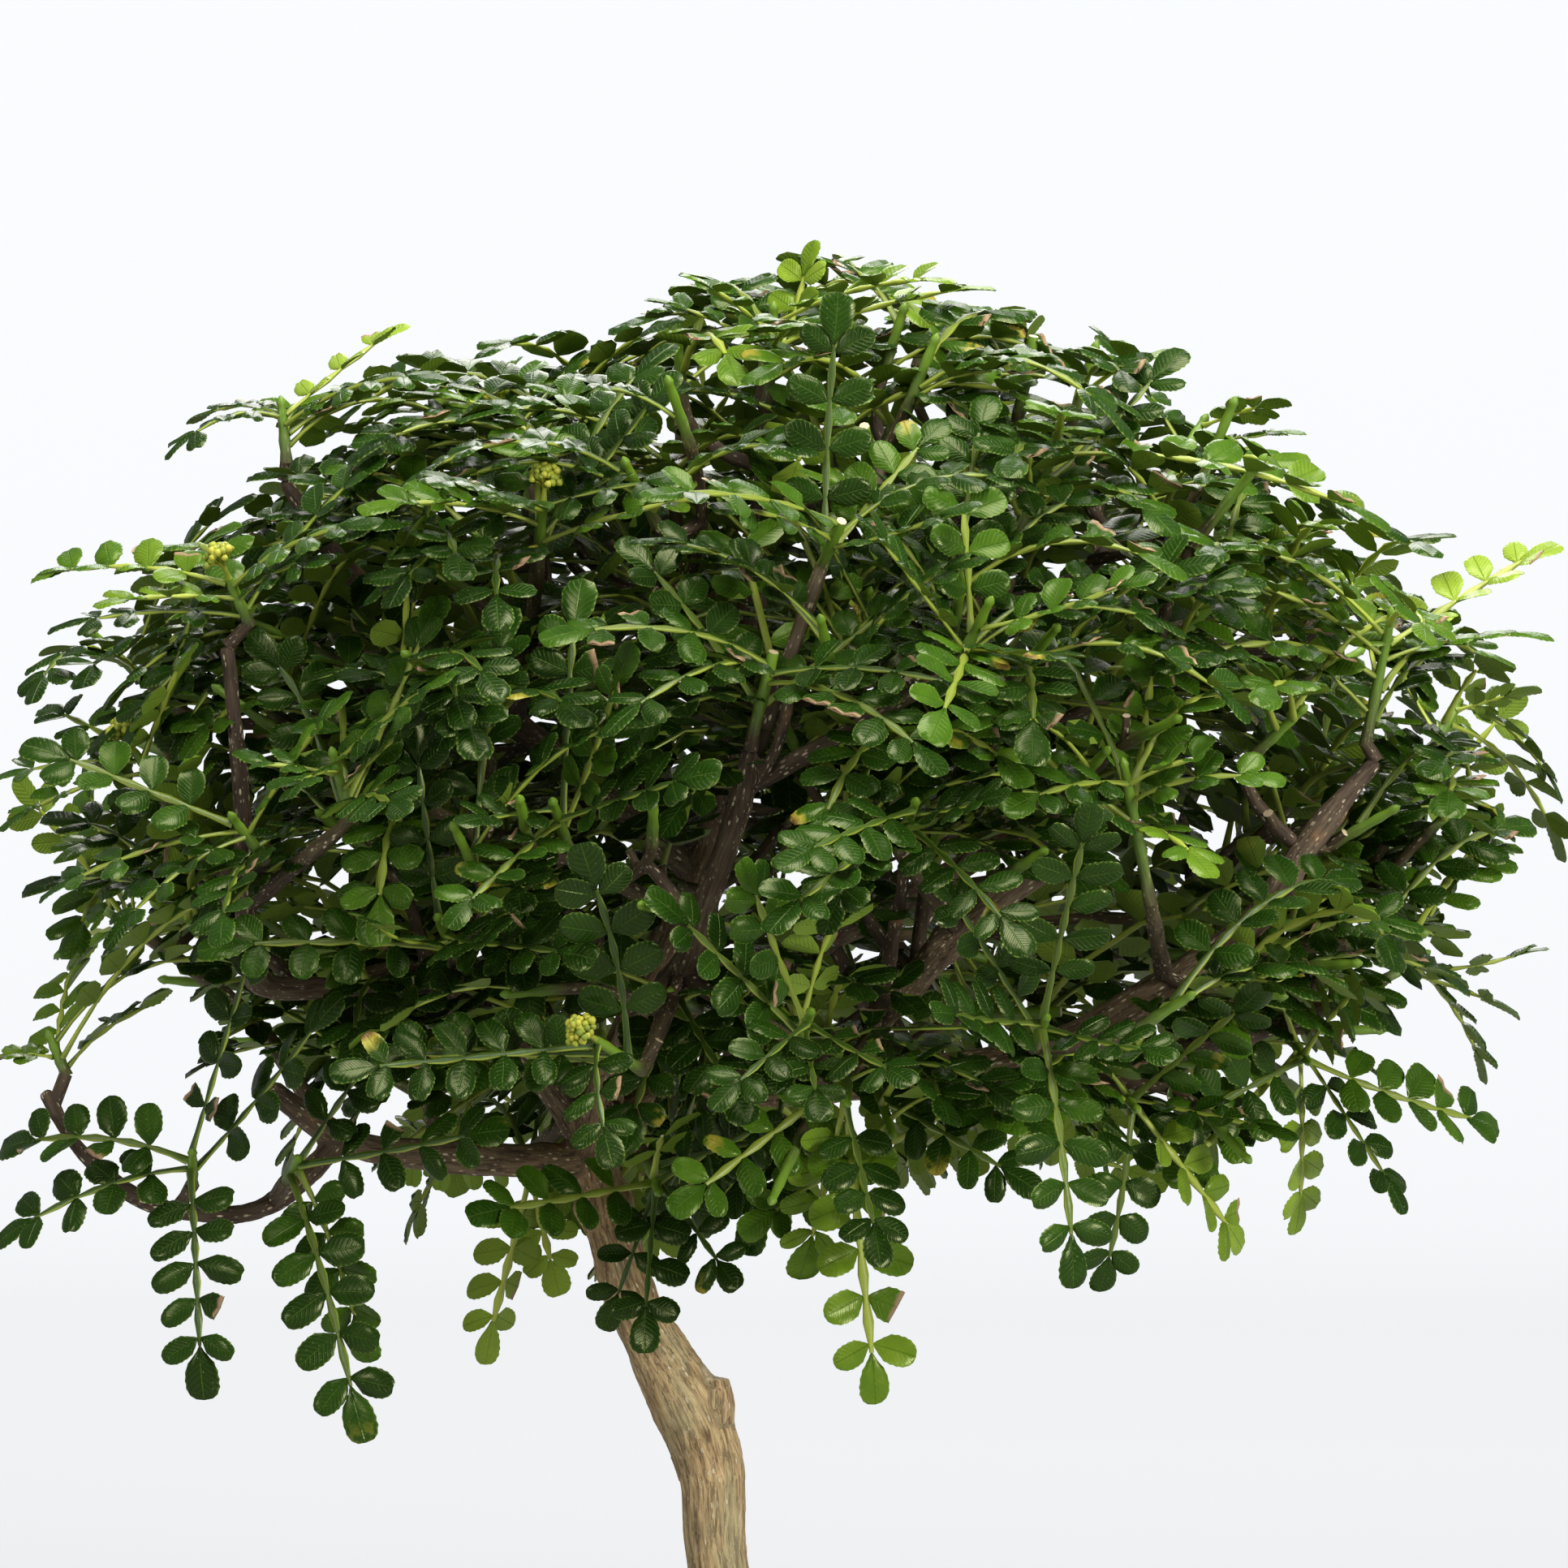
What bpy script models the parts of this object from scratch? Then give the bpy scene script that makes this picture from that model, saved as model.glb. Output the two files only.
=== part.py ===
"""Chinese pepper bonsai in a plain clay pot.

The front of the tree faces -Y, +Z is up and the pot stands on Z = 0. Lengths are in
millimetres until mesh_of() turns them into metres.
"""

import math
import random

import bpy
from mathutils import Vector
from mathutils.bvhtree import BVHTree
from mathutils.geometry import tessellate_polygon

METRES = 0.001
SEED = 5

# pot
POT_LENGTH = 190.0
POT_DEPTH = 145.0
POT_HEIGHT = 58.0
POT_CORNER = 26.0
POT_WALL = 6.0
POT_FOOT_HEIGHT = 6.0
POT_FLOOR = 6.0
POT_LIP_HEIGHT = 8.0
POT_LIP_REACH = 3.0
POT_FOOT_INSET = 9.0
POT_CORNER_STEPS = 3
FOOT_LENGTH = 34.0
FOOT_DEPTH = 22.0
FOOT_SETBACK = 4.0
FOOT_SUNK = 2.0
POT_FOOT_CORNER = 20.0
POT_WALL_CORNER = 24.0
POT_INNER_CORNER = 19.0
POT_FLOOR_CORNER = 17.0
LIP_CHAMFER = 1.0
MOUTH_CHAMFER = 1.5
FLOOR_INSET = 6.0
DRAIN_RADIUS = 7.0
DRAIN_OFFSET = 45.0
DRAIN_SIDES = 10

# soil
FIT_GAP = 0.3
SOIL_BELOW_RIM = 7.0
SOIL_MOUND = 5.0
SOIL_SHOULDER_SHARE = 0.7
SOIL_SHOULDER_RISE = 0.65
SOIL_CROWN_SHARE = 0.38

# trunk foot, in a plain hole in the soil
TRUNK_SIDES = 9
FOOT_RADIUS = 9.5
FOOT_BOTTOM = 28.0
HOLE_GAP = 0.45

# wood
LIMB_SIDES = 5
TWIG_SIDES = 4
TWIG_STEP = 30.0
LIMB_END_REACH = 14.0
TWIG_RADIUS = 1.35
TWIG_ROOT_RADIUS = 1.8
TWIG_ROOT_SHARE = 0.85
TWIG_ROOT_PARTS = (0.0, 0.25, 0.5, 0.75, 1.0)
TWIG_LAST_PART = 0.4
TWIG_TURN_COST = 1.7
TWIG_SHORTEST = 2.0
TWIG_LEAD_SHARE = 0.5
BUTT_GAP = 0.35

# leafy shoots
SHOOT_SIDES = 5
SHOOT_RADIUS = 1.25
SHOOT_TIP_RADIUS = 1.0

# pinnate leaves
BLADE_THICKNESS = 0.7
RACHIS_HALF_WIDTH = 0.5
PETIOLE_SHARE = 0.2
END_LEAFLET_SHARE = 0.2
LEAFLET_PAIRS = 2
LEAFLET_REACH = 9.0
LEAFLET_TIP_SHARE = 0.74
LEAFLET_SIZE_AT_ENDS = 0.86
ROOT_SPACING = 1.3
END_LEAFLET_HALF_WIDTH = 2.9
LEAFLET_DROOP = 0.14
LEAF_LENGTH = 46.0
CLEARANCE = 0.45
GOLDEN_ANGLE = math.radians(137.5)
LEAF_TRIES = 60
KEY_LEAF_TRIES = 40
KEY_LEAF_WANDER = 0.35
KEY_LEAF_PLACES = (0.5, 0.95)
FREE_LEAF_PLACES = (0.2, 0.95)
OPEN_ANGLES = (0.9, 1.35)
LEAF_SAGS = (0.05, 0.4)
LEAF_LENGTH_SHARES = (0.78, 1.06)
PULL_OUTWARD = 0.25
SHORT_LEAF_WIDTH = 0.35
NEIGHBOUR_REACH = 75.0

# how a leaf sets out from its shoot, and what its face turns to
ALONG_SHOOT = 0.75
SET_OUT_SHARE = 0.72
ARCH_LEAD = 0.5
FACE_UP = 0.85
FACE_ALONG_SHOOT = 0.45
FACE_OUTWARD = 0.75
FACE_WANDER = 0.22

# bud heads
BUDS_ON_HEAD = 3
BUD_RADIUS = 1.9
BUD_SPREAD = 1.2
BUD_GAP = 0.35
BUD_STALK_LENGTH = 4.0
BUD_STALK_RADII = (0.8, 0.7)
BUD_STALK_SIDES = 3
BUD_RISE = 4.6
BUD_STEP = 0.7

# Points that line up in the front view are given where they meet the trunk's plane.
FRONT_VIEW_DISTANCE = 1500.0
EYE_HEIGHT = 265.0

# (x, y, z, radius) along each limb, from its root
LIMBS = {
    "trunk": [
        (-11, 0, FOOT_BOTTOM, FOOT_RADIUS), (-11, 0, 58, FOOT_RADIUS), (-11, 0, 63, 9.0),
        (-11, 0, 69, 8.0), (-11, 0, 78, 7.1), (-12, 0, 95, 6.4), (-13, 0, 124, 6.2),
        (-15, 0, 137, 6.8), (-18, 0, 146, 7.0), (-24, 0, 156, 5.8),
        (-28, 0, 164, 5.1), (-31, 0, 174, 4.9), (-35, 0, 187, 4.7), (-37, -2, 198, 4.6),
    ],
    "stub": [(-18, 0, 142, 4.4), (-13, -1, 148.5, 4.0), (-11, -1, 151.5, 3.7)],
    "left": [
        (-37, -2, 196, 3.6), (-41, -3, 193, 3.6), (-69, -18, 195, 3.0), (-83, -25, 198, 2.7),
        (-96, -35, 208, 2.1),
    ],
    "left_low": [
        (-83, -25, 198, 2.3), (-95, -38, 187, 2.0), (-105, -45, 185, 1.8),
        (-119, -48, 188, 1.6), (-130, -47, 197, 1.5), (-137, -45, 208, 1.4),
    ],
    "left_mid": [
        (-37, -2, 196, 3.2), (-49, -12, 213, 3.0), (-69, -30, 228, 2.8), (-85, -42, 227, 2.4),
        (-98, -50, 230, 2.2), (-99, -58, 255, 1.9), (-102, -62, 290, 1.4),
    ],
    "front": [
        (-37, -2, 196, 3.6), (-30, -30, 215, 3.4), (-19, -62, 230, 2.9), (-13, -78, 246, 2.5),
        (-8, -88, 261, 2.2), (-6, -93, 271, 1.6),
    ],
    "right": [
        (-37, -2, 196, 4.0), (-21, -8, 206, 3.9), (5, -22, 208, 3.7), (36, -36, 212, 3.6),
        (55, -42, 218, 3.4), (86, -50, 239, 3.0), (98, -46, 255, 2.4), (110, -42, 269, 1.6),
    ],
    "right_front": [(5, -22, 208, 3.2), (18, -50, 222, 3.1), (32, -68, 238, 3.1), (46, -76, 250, 3.0)],
    "right_low": [
        (36, -36, 212, 2.8), (56, -22, 211, 2.5), (75, -8, 214, 2.2), (95, 2, 219, 1.9),
        (112, 9, 225, 1.4),
    ],
    "leader": [
        (-37, -2, 196, 4.0), (-27, 2, 224, 3.7), (-16, 0, 247, 3.3), (-9, -10, 272, 2.9),
        (-6, -20, 300, 2.5), (-3, -29, 333, 1.5),
    ],
    "top_left": [
        (-16, 0, 247, 2.8), (-63, -10, 287, 2.3), (-83, -20, 306, 1.9), (-94, -24, 322, 1.4),
    ],
    "top_right": [(-9, -10, 272, 2.7), (13, -24, 284, 2.4), (33, -36, 297, 2.0), (43, -43, 309, 1.4)],
    "back": [
        (-27, 2, 224, 3.2), (-21, 35, 241, 2.9), (-13, 62, 263, 2.6), (-10, 70, 287, 2.1),
        (-10, 62, 311, 1.4),
    ],
    "back_right": [
        (-27, 2, 224, 3.2), (2, 30, 232, 2.9), (33, 58, 247, 2.6), (61, 72, 266, 2.1),
        (81, 75, 287, 1.4),
    ],
    "back_left": [
        (-37, -2, 196, 3.2), (-47, 30, 219, 2.9), (-63, 56, 241, 2.6), (-80, 67, 263, 2.1),
        (-90, 66, 282, 1.4),
    ],
}
CUT_STUBS = {
    "thin_stub": [(18, -50, 222, 1.9), (20, -72, 238, 1.4), (22, -84, 251, 1.2)],
    "short_stub": [(-8, -88, 261, 1.4), (-2, -93, 270, 1.2), (1, -95, 280, 1.1)],
}

# name, foot and tip of the green shoot, tips of its leading leaves, further leaves,
# leaf tone (0 mature, 1 mixed, 2 young) and whether a bud head ends the shoot
SPRAYS = [
    ("front_top", (-6, -94, 274), (-2, -100, 290),
     [(-49, -120, 292), (41, -118, 281), (-37, -125, 273), (32, -125, 265)], 2, 1, 0),
    ("right_tip", (111, -42, 272), (116, -46, 297),
     [(149, -30, 312), (74, -62, 306), (149, -40, 293), (67, -70, 285)], 2, 2, 0),
    ("crown_top", (-3, -30, 337), (-2, -32, 355),
     [(42, -35, 360), (-28, -30, 358), (34, -55, 361), (5, -25, 371), (-20, -50, 363)], 2, 2, 0),
    ("top_left", (-95, -25, 326), (-96, -25, 337),
     [(-71, -15, 354), (-63, -45, 342), (-120, -35, 325), (-115, -10, 333)], 2, 1, 0),
    ("left_high", (-102, -62, 295), (-106, -66, 304),
     [(-133, -80, 299), (-145, -50, 304), (-85, -85, 308)], 3, 1, 1),
    ("left_front", (-83, -88, 258), (-86, -92, 270), [(-67, -105, 280), (-96, -112, 261)], 4, 1, 0),
    ("left_edge", (-118, -38, 262), (-124, -42, 271),
     [(-154, -40, 265), (-152, -55, 255), (-142, -20, 280)], 2, 1, 1),
    ("left_low", (-99, -72, 250), (-105, -78, 258), [(-144, -80, 242), (-131, -90, 232)], 3, 0, 0),
    ("far_left", (-137, -45, 209), (-140, -45, 216), [(-155, -40, 211)], 2, 2, 0),
    ("left_drop", (-113, -55, 188), (-113, -66, 194),
     [(-111, -78, 144), (-153, -60, 176), (-152, -45, 194)], 2, 0, 0),
    ("left_drop_inner", (-95, -50, 189), (-93, -62, 193),
     [(-80, -82, 137), (-79, -60, 151)], 2, 0, 0),
    ("drop_back", (-49, 24, 194), (-48, 38, 190), [(-58, 45, 153), (-43, 52, 167)], 2, 2, 0),
    ("front_left", (-27, -95, 210), (-36, -108, 216), [(-88, -118, 210), (-32, -128, 190)], 3, 0, 1),
    ("low_centre", (-26, -34, 193), (-24, -50, 187),
     [(-27, -62, 155), (-9, -64, 168), (-35, -50, 159)], 2, 0, 0),
    ("front_centre", (3, -98, 215), (5, -113, 221),
     [(7, -132, 200), (25, -135, 208), (-15, -130, 202)], 2, 0, 0),
    ("low_right_centre", (12, -72, 209), (12, -86, 204),
     [(19, -104, 172), (18, -86, 145), (2, -70, 163)], 1, 1, 0),
    ("front_right", (48, -84, 215), (50, -100, 220),
     [(56, -112, 166), (75, -122, 213), (29, -130, 222)], 2, 0, 0),
    ("low_right", (64, -33, 207), (67, -46, 203), [(60, -40, 166), (89, -30, 175)], 2, 1, 0),
    ("right_low_front", (97, -6, 216), (100, -20, 212),
     [(120, -25, 182), (98, -10, 177), (139, 0, 199)], 2, 1, 0),
    ("right_low_edge", (114, 10, 227), (122, 14, 232),
     [(147, 15, 235), (143, 5, 222), (135, 30, 208)], 2, 1, 0),
    ("right_front", (70, -86, 242), (65, -98, 268),
     [(98, -104, 265), (41, -122, 259), (83, -120, 246)], 3, 2, 0),
    ("right_edge", (123, 20, 270), (129, 25, 281),
     [(150, 30, 259), (146, 20, 284), (150, 45, 248)], 2, 1, 0),
    ("top_right", (44, -45, 312), (52, -48, 329),
     [(118, -60, 313), (77, -30, 350), (25, -65, 328)], 3, 1, 0),
    ("top_right_edge", (73, 10, 323), (80, 15, 334), [(101, 20, 333), (98, 5, 339)], 3, 1, 0),
    ("top_mid_right", (35, 30, 331), (39, 35, 345), [(49, 35, 356), (60, 40, 348)], 3, 1, 0),
    ("top_mid_left", (-49, 0, 323), (-53, 0, 335), [(-36, 15, 349), (-69, 10, 342)], 3, 1, 1),
    ("upper_left", (-47, -72, 308), (-46, -78, 319), [(-83, -95, 317), (-18, -92, 323)], 3, 0, 1),
    ("upper_front", (7, -88, 306), (11, -96, 315), [(-15, -115, 318), (38, -110, 320)], 3, 1, 0),
    ("front_mid_right", (33, -98, 287), (39, -106, 299), [(72, -115, 306)], 4, 1, 0),
    ("front_mid", (22, -98, 252), (25, -112, 261), [(49, -125, 261)], 3, 0, 0),
    ("front_mid_left", (-41, -90, 252), (-44, -104, 261), [(-63, -120, 258)], 3, 0, 0),
    ("front_low_left", (-63, -80, 232), (-66, -94, 239), [(-80, -115, 241), (-57, -125, 236)], 3, 0, 0),
    ("back_top", (-10, 62, 315), (-13, 70, 328), [], 4, 1, 0),
    ("back_top_right", (36, 76, 306), (42, 86, 318), [], 4, 0, 0),
    ("back_top_left", (-57, 62, 303), (-63, 72, 315), [], 4, 1, 0),
    ("back_right_high", (83, 77, 291), (91, 86, 301), [], 4, 1, 0),
    ("back_left_high", (-92, 67, 286), (-100, 77, 295), [], 4, 0, 0),
    ("back_mid", (-2, 92, 267), (-1, 106, 277), [], 4, 0, 0),
    ("back_mid_right", (52, 92, 259), (58, 105, 267), [], 4, 1, 0),
    ("back_mid_left", (-51, 92, 259), (-57, 105, 267), [], 4, 0, 0),
    ("back_right_low", (83, 58, 236), (92, 73, 239), [], 5, 0, 0),
    ("back_left_low", (-95, 55, 232), (-105, 69, 235), [], 5, 1, 0),
    ("back_low", (-18, 72, 224), (-18, 90, 225), [], 4, 0, 0),
    ("back_low_right", (33, 62, 219), (38, 80, 221), [], 4, 0, 0),
    ("back_low_left", (-63, 50, 215), (-69, 68, 215), [], 4, 0, 0),
    ("left_side", (-122, 8, 236), (-132, 12, 242), [], 5, 1, 0),
    ("right_side", (113, 40, 250), (123, 48, 256), [], 4, 0, 0),
    ("left_back_high", (-85, 22, 292), (-91, 28, 303), [], 4, 1, 0),
    ("top_back", (-21, 34, 316), (-20, 38, 330), [], 4, 1, 0),
    ("low_back", (34, 26, 206), (37, 34, 201), [], 4, 0, 0),
]

# outline of the crown in the front view, as (x, z), and its half depth
CROWN_OUTLINE = [
    (-150, 270), (-145, 306), (-120, 328), (-95, 342), (-72, 349), (-41, 346), (-27, 357),
    (4, 370), (42, 361), (77, 351), (101, 339), (118, 314), (139, 309), (150, 290), (150, 235),
    (139, 208), (114, 191), (67, 182), (29, 191), (-1, 173), (-35, 166), (-57, 185), (-75, 173),
    (-114, 176), (-147, 182), (-140, 221), (-150, 244),
]
CROWN_CENTRE = Vector((0, 0, 262))
CROWN_HALF_WIDTH = 156.0
CROWN_HALF_DEPTH = 140.0
CROWN_HALF_HEIGHT = 112.0
CROWN_HEIGHT_WEIGHT = 0.8
CROWN_LIMIT = 1.1

LEAF_COLOURS = ((0.035, 0.095, 0.022), (0.060, 0.150, 0.030), (0.130, 0.260, 0.045))
WOOD_COLOUR = (0.130, 0.085, 0.045)
POT_COLOUR = (0.075, 0.045, 0.032)
SOIL_COLOUR = (0.060, 0.040, 0.026)
BUD_COLOUR = (0.290, 0.330, 0.050)


def clear_scene():
    for obj in list(bpy.data.objects):
        bpy.data.objects.remove(obj, do_unlink=True)


def material_of(name, colour, roughness):
    material = bpy.data.materials.new(name)
    material.use_nodes = True
    shader = material.node_tree.nodes["Principled BSDF"]
    shader.inputs["Base Color"].default_value = (*colour, 1.0)
    shader.inputs["Roughness"].default_value = roughness
    shader.inputs["Metallic"].default_value = 0.0
    return material


def mesh_of(name, points, faces):
    mesh = bpy.data.meshes.new(name)
    mesh.from_pydata([Vector(p) * METRES for p in points], [], faces)
    mesh.update()
    return mesh


def object_of(name, points, faces, collection=None):
    obj = bpy.data.objects.new(name, mesh_of(name, points, faces))
    (collection or bpy.context.scene.collection).objects.link(obj)
    return obj


def booleaned(obj, operation, pieces):
    """obj joined with, or cut by, every (points, faces) of pieces."""
    group = bpy.data.collections.new(obj.name + "_pieces")
    bpy.context.scene.collection.children.link(group)
    for index, (points, faces) in enumerate(pieces):
        object_of(f"{obj.name}_piece_{index}", points, faces, group)
    modifier = obj.modifiers.new("joined", "BOOLEAN")
    modifier.operation = operation
    modifier.operand_type = "COLLECTION"
    modifier.collection = group
    modifier.solver = "MANIFOLD"
    bpy.context.view_layer.update()
    graph = bpy.context.evaluated_depsgraph_get()
    joined = bpy.data.meshes.new_from_object(obj.evaluated_get(graph))
    obj.modifiers.remove(modifier)
    obj.data = joined
    for piece in list(group.objects):
        bpy.data.objects.remove(piece, do_unlink=True)
    bpy.data.collections.remove(group)
    return obj


def frames_along(points, last_way=None):
    """A tangent and two cross axes for each point, turning as little as possible."""
    frames = []
    cross = None
    for i in range(len(points)):
        before = points[max(i - 1, 0)]
        after = points[min(i + 1, len(points) - 1)]
        tangent = (after - before).normalized()
        if last_way and i == len(points) - 1:
            tangent = last_way
        if cross is None:
            cross = Vector((1, 0, 0)) if abs(tangent.x) < 0.9 else Vector((0, 1, 0))
        cross = (cross - tangent * cross.dot(tangent)).normalized()
        frames.append((tangent, cross, tangent.cross(cross)))
    return frames


def tube(path, radii, sides, last_way=None):
    """A closed tube with flat ends, as points and faces that look outward."""
    points = []
    faces = []
    for centre, radius, (_, across, up) in zip(path, radii, frames_along(path, last_way)):
        for k in range(sides):
            angle = math.tau * k / sides
            points.append(centre + (across * math.cos(angle) + up * math.sin(angle)) * radius)
    for ring in range(len(path) - 1):
        for k in range(sides):
            a = ring * sides + k
            b = ring * sides + (k + 1) % sides
            faces.append((a, b, b + sides, a + sides))
    faces.append(tuple(reversed(range(sides))))
    last = (len(path) - 1) * sides
    faces.append(tuple(range(last, last + sides)))
    return points, faces


def limb_tube(rows, sides, last_way=None):
    path = [Vector(row[:3]) for row in rows]
    return tube(path, [row[3] for row in rows], sides, last_way)


def bend(start, lead, end, share):
    """A point of the arch from start to end that sets out towards lead."""
    rest = 1 - share
    return start * rest * rest + lead * 2 * rest * share + end * share * share


def bend_tangent(start, lead, end, share):
    return ((lead - start) * (1 - share) + (end - lead) * share).normalized()


def half_outline(leaf):
    """One side of a pinnate leaf, root to shoulder, as (share of length, reach, drop,
    whether the point is a root on the rachis)."""
    reach = leaf["reach"]
    pairs = leaf["pairs"]
    step = (1 - PETIOLE_SHARE - END_LEAFLET_SHARE) / pairs
    side = [(0.0, RACHIS_HALF_WIDTH, 0.0, True)]
    for k in range(pairs):
        near = PETIOLE_SHARE + step * k
        bulge = math.sin(math.pi * (k + 1) / (pairs + 1))
        size = reach * (LEAFLET_SIZE_AT_ENDS + (1 - LEAFLET_SIZE_AT_ENDS) * bulge)
        side.append((near, RACHIS_HALF_WIDTH, 0.0, True))
        side.append((near + LEAFLET_TIP_SHARE * step, size, -LEAFLET_DROOP * size, False))
    side.append((1 - END_LEAFLET_SHARE, RACHIS_HALF_WIDTH, 0.0, True))
    side.append((1.0, END_LEAFLET_HALF_WIDTH, 0.0, False))
    return side


def leaf_skin(leaf, swell=0.0, first=0):
    """Upper and lower points round the outline of the arched blade, and the triangles of
    its upper face. The outline runs up the right side and back down the left."""
    side = half_outline(leaf)[first:]
    outline = [(share, reach + swell, drop) for share, reach, drop, _ in side]
    outline += [(share, -reach, drop) for share, reach, drop in reversed(outline)]
    half = BLADE_THICKNESS / 2 + swell
    above = []
    below = []
    for share, reach, drop in outline:
        tangent = bend_tangent(leaf["start"], leaf["lead"], leaf["tip"], share)
        across = tangent.cross(leaf["facing"]).normalized()
        up = across.cross(tangent)
        middle = bend(leaf["start"], leaf["lead"], leaf["tip"], share) + across * reach + up * drop
        above.append(middle + up * half)
        below.append(middle - up * half)
    roots = [i for i, row in enumerate(side) if row[3]]
    last = roots[-1]
    shoulder = last + 1
    mirror = len(outline) - 1
    top = []
    for a, b in zip(roots, roots[1:]):
        top += [(a, b, mirror - b), (a, mirror - b, mirror - a)]
        for k in range(a + 1, b):
            top += [(a, k, b), (mirror - b, mirror - k, mirror - a)]
    top += [(last, shoulder, mirror - shoulder), (last, mirror - shoulder, mirror - last)]
    return above, below, top


def leaf_faces(above, below, top, closed):
    """Faces over the given point numbers: both skins and the rim, which stays open at the
    root unless closed."""
    faces = [tuple(above[v] for v in face) for face in top]
    faces += [tuple(below[v] for v in reversed(face)) for face in top]
    count = len(above)
    for a in range(count if closed else count - 1):
        b = (a + 1) % count
        faces += [(below[a], below[b], above[b]), (below[a], above[b], above[a])]
    return faces


def leaf_blade(leaf, swell=0.0, first=0):
    """The leaf as a closed body of its own, from the first-th point of its side on."""
    above, below, top = leaf_skin(leaf, swell, first)
    count = len(above)
    faces = leaf_faces(range(count), range(count, 2 * count), top, True)
    return above + below, faces


def seen(x, y, z):
    """Where a point at depth y lies so that it lines up with (x, z) on the trunk's plane."""
    share = 1 + y / FRONT_VIEW_DISTANCE
    return Vector((x * share, y, EYE_HEIGHT + (z - EYE_HEIGHT) * share))


def in_crown(point):
    """Whether the front view shows the point inside the crown's outline, and not too deep."""
    share = 1 + point.y / FRONT_VIEW_DISTANCE
    x = point.x / share
    z = EYE_HEIGHT + (point.z - EYE_HEIGHT) / share
    inside = False
    for (ax, az), (bx, bz) in zip(CROWN_OUTLINE, CROWN_OUTLINE[1:] + CROWN_OUTLINE[:1]):
        if (az > z) != (bz > z) and x < ax + (z - az) * (bx - ax) / (bz - az):
            inside = not inside
    spread = (point.x / CROWN_HALF_WIDTH) ** 2 + (point.y / CROWN_HALF_DEPTH) ** 2
    height = ((point.z - CROWN_CENTRE.z) / CROWN_HALF_HEIGHT) ** 2
    return inside and spread + height * CROWN_HEIGHT_WEIGHT < CROWN_LIMIT


def tree_of(shape):
    points, faces = shape
    return BVHTree.FromPolygons(points, faces)


def twig_rows(foot, tip):
    """A twig from the best-placed point of a limb to just under the shoot's foot."""
    heading = (tip - foot).normalized()
    best = None
    for name, rows in LIMBS.items():
        if name in ("trunk", "stub"):
            continue
        for a, b in zip(rows, rows[1:]):
            for part in TWIG_ROOT_PARTS:
                at = Vector(a[:3]).lerp(Vector(b[:3]), part)
                way = foot - at
                if b is rows[-1] and part > TWIG_LAST_PART and way.length > LIMB_END_REACH:
                    continue
                cost = 0
                if way.length > TWIG_SHORTEST:
                    cost = way.length * (TWIG_TURN_COST - way.normalized().dot(heading))
                if best is None or cost < best[0]:
                    best = (cost, at, a[3] + (b[3] - a[3]) * part)
    _, at, limb_radius = best
    end = foot - heading * BUTT_GAP
    length = (end - at).length
    lead = end - heading * length * TWIG_LEAD_SHARE
    root_radius = min(limb_radius * TWIG_ROOT_SHARE, TWIG_ROOT_RADIUS)
    steps = max(1, round(length / TWIG_STEP))
    rows = []
    for k in range(steps + 1):
        share = k / steps
        radius = root_radius + (TWIG_RADIUS - root_radius) * share
        rows.append((*bend(at, lead, end, share), radius))
    return rows


def shoot_tube(spray, swell=0.0):
    radii = [SHOOT_RADIUS + swell, SHOOT_TIP_RADIUS + swell]
    return tube([spray["foot"], spray["tip"]], radii, SHOOT_SIDES)


def facet_frame(spray, facet, place):
    """A point on the middle of one side of the shoot, with the side's own axes."""
    ring, _ = shoot_tube(spray)
    after = (facet + 1) % SHOOT_SIDES
    low = (ring[facet] + ring[after]) / 2
    high = (ring[facet + SHOOT_SIDES] + ring[after + SHOOT_SIDES]) / 2
    lateral = (ring[after] - ring[facet]).normalized()
    rise = (high - low).normalized()
    return low.lerp(high, place), lateral, rise, lateral.cross(rise)


def spray_shape(spray):
    """The shoot and its leaves as one skin: each leaf's root is a small opening in a side
    of the shoot, from which the blade runs on."""
    points, faces = shoot_tube(spray)
    points = list(points)
    faces = faces[-2:]
    openings = [[] for _ in range(SHOOT_SIDES)]
    for leaf in spray["leaves"]:
        centre, lateral, rise, normal = facet_frame(spray, leaf["facet"], leaf["place"])
        above, below, top = leaf_skin(leaf)
        up = above[0] - below[0]
        if normal.cross(rise).dot(above[0] - above[-1]) + rise.dot(up) < 0:
            rise = -rise
        across = normal.cross(rise) * RACHIS_HALF_WIDTH
        rise = rise * BLADE_THICKNESS / 2
        above[0], above[-1] = centre + across + rise, centre - across + rise
        below[0], below[-1] = centre + across - rise, centre - across - rise
        count = len(above)
        base = len(points)
        points += above + below
        upper = range(base, base + count)
        lower = range(base + count, base + 2 * count)
        faces += leaf_faces(upper, lower, top, False)
        openings[leaf["facet"]].append([upper[0], upper[-1], lower[-1], lower[0]])
    for facet, holes in enumerate(openings):
        after = (facet + 1) % SHOOT_SIDES
        loop = [facet, after, after + SHOOT_SIDES, facet + SHOOT_SIDES]
        if not holes:
            faces.append(tuple(loop))
            continue
        normal = facet_frame(spray, facet, 0.5)[3]
        numbers = loop + [v for hole in holes for v in hole]
        loops = [[points[v] for v in ring] for ring in [loop] + holes]
        for triangle in tessellate_polygon(loops):
            a, b, c = (points[numbers[k]] for k in triangle)
            ordered = triangle if (b - a).cross(c - a).dot(normal) > 0 else reversed(triangle)
            faces.append(tuple(numbers[k] for k in ordered))
    return points, faces


def planned_sprays():
    sprays = []
    for name, foot, tip, keys, more, tone, buds in SPRAYS:
        sprays.append({
            "name": "spray_" + name,
            "foot": seen(*foot),
            "tip": seen(*tip),
            "keys": [seen(*key) for key in keys],
            "more": more,
            "tone": tone,
            "buds": buds,
            "leaves": [],
        })
    return sprays


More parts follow.
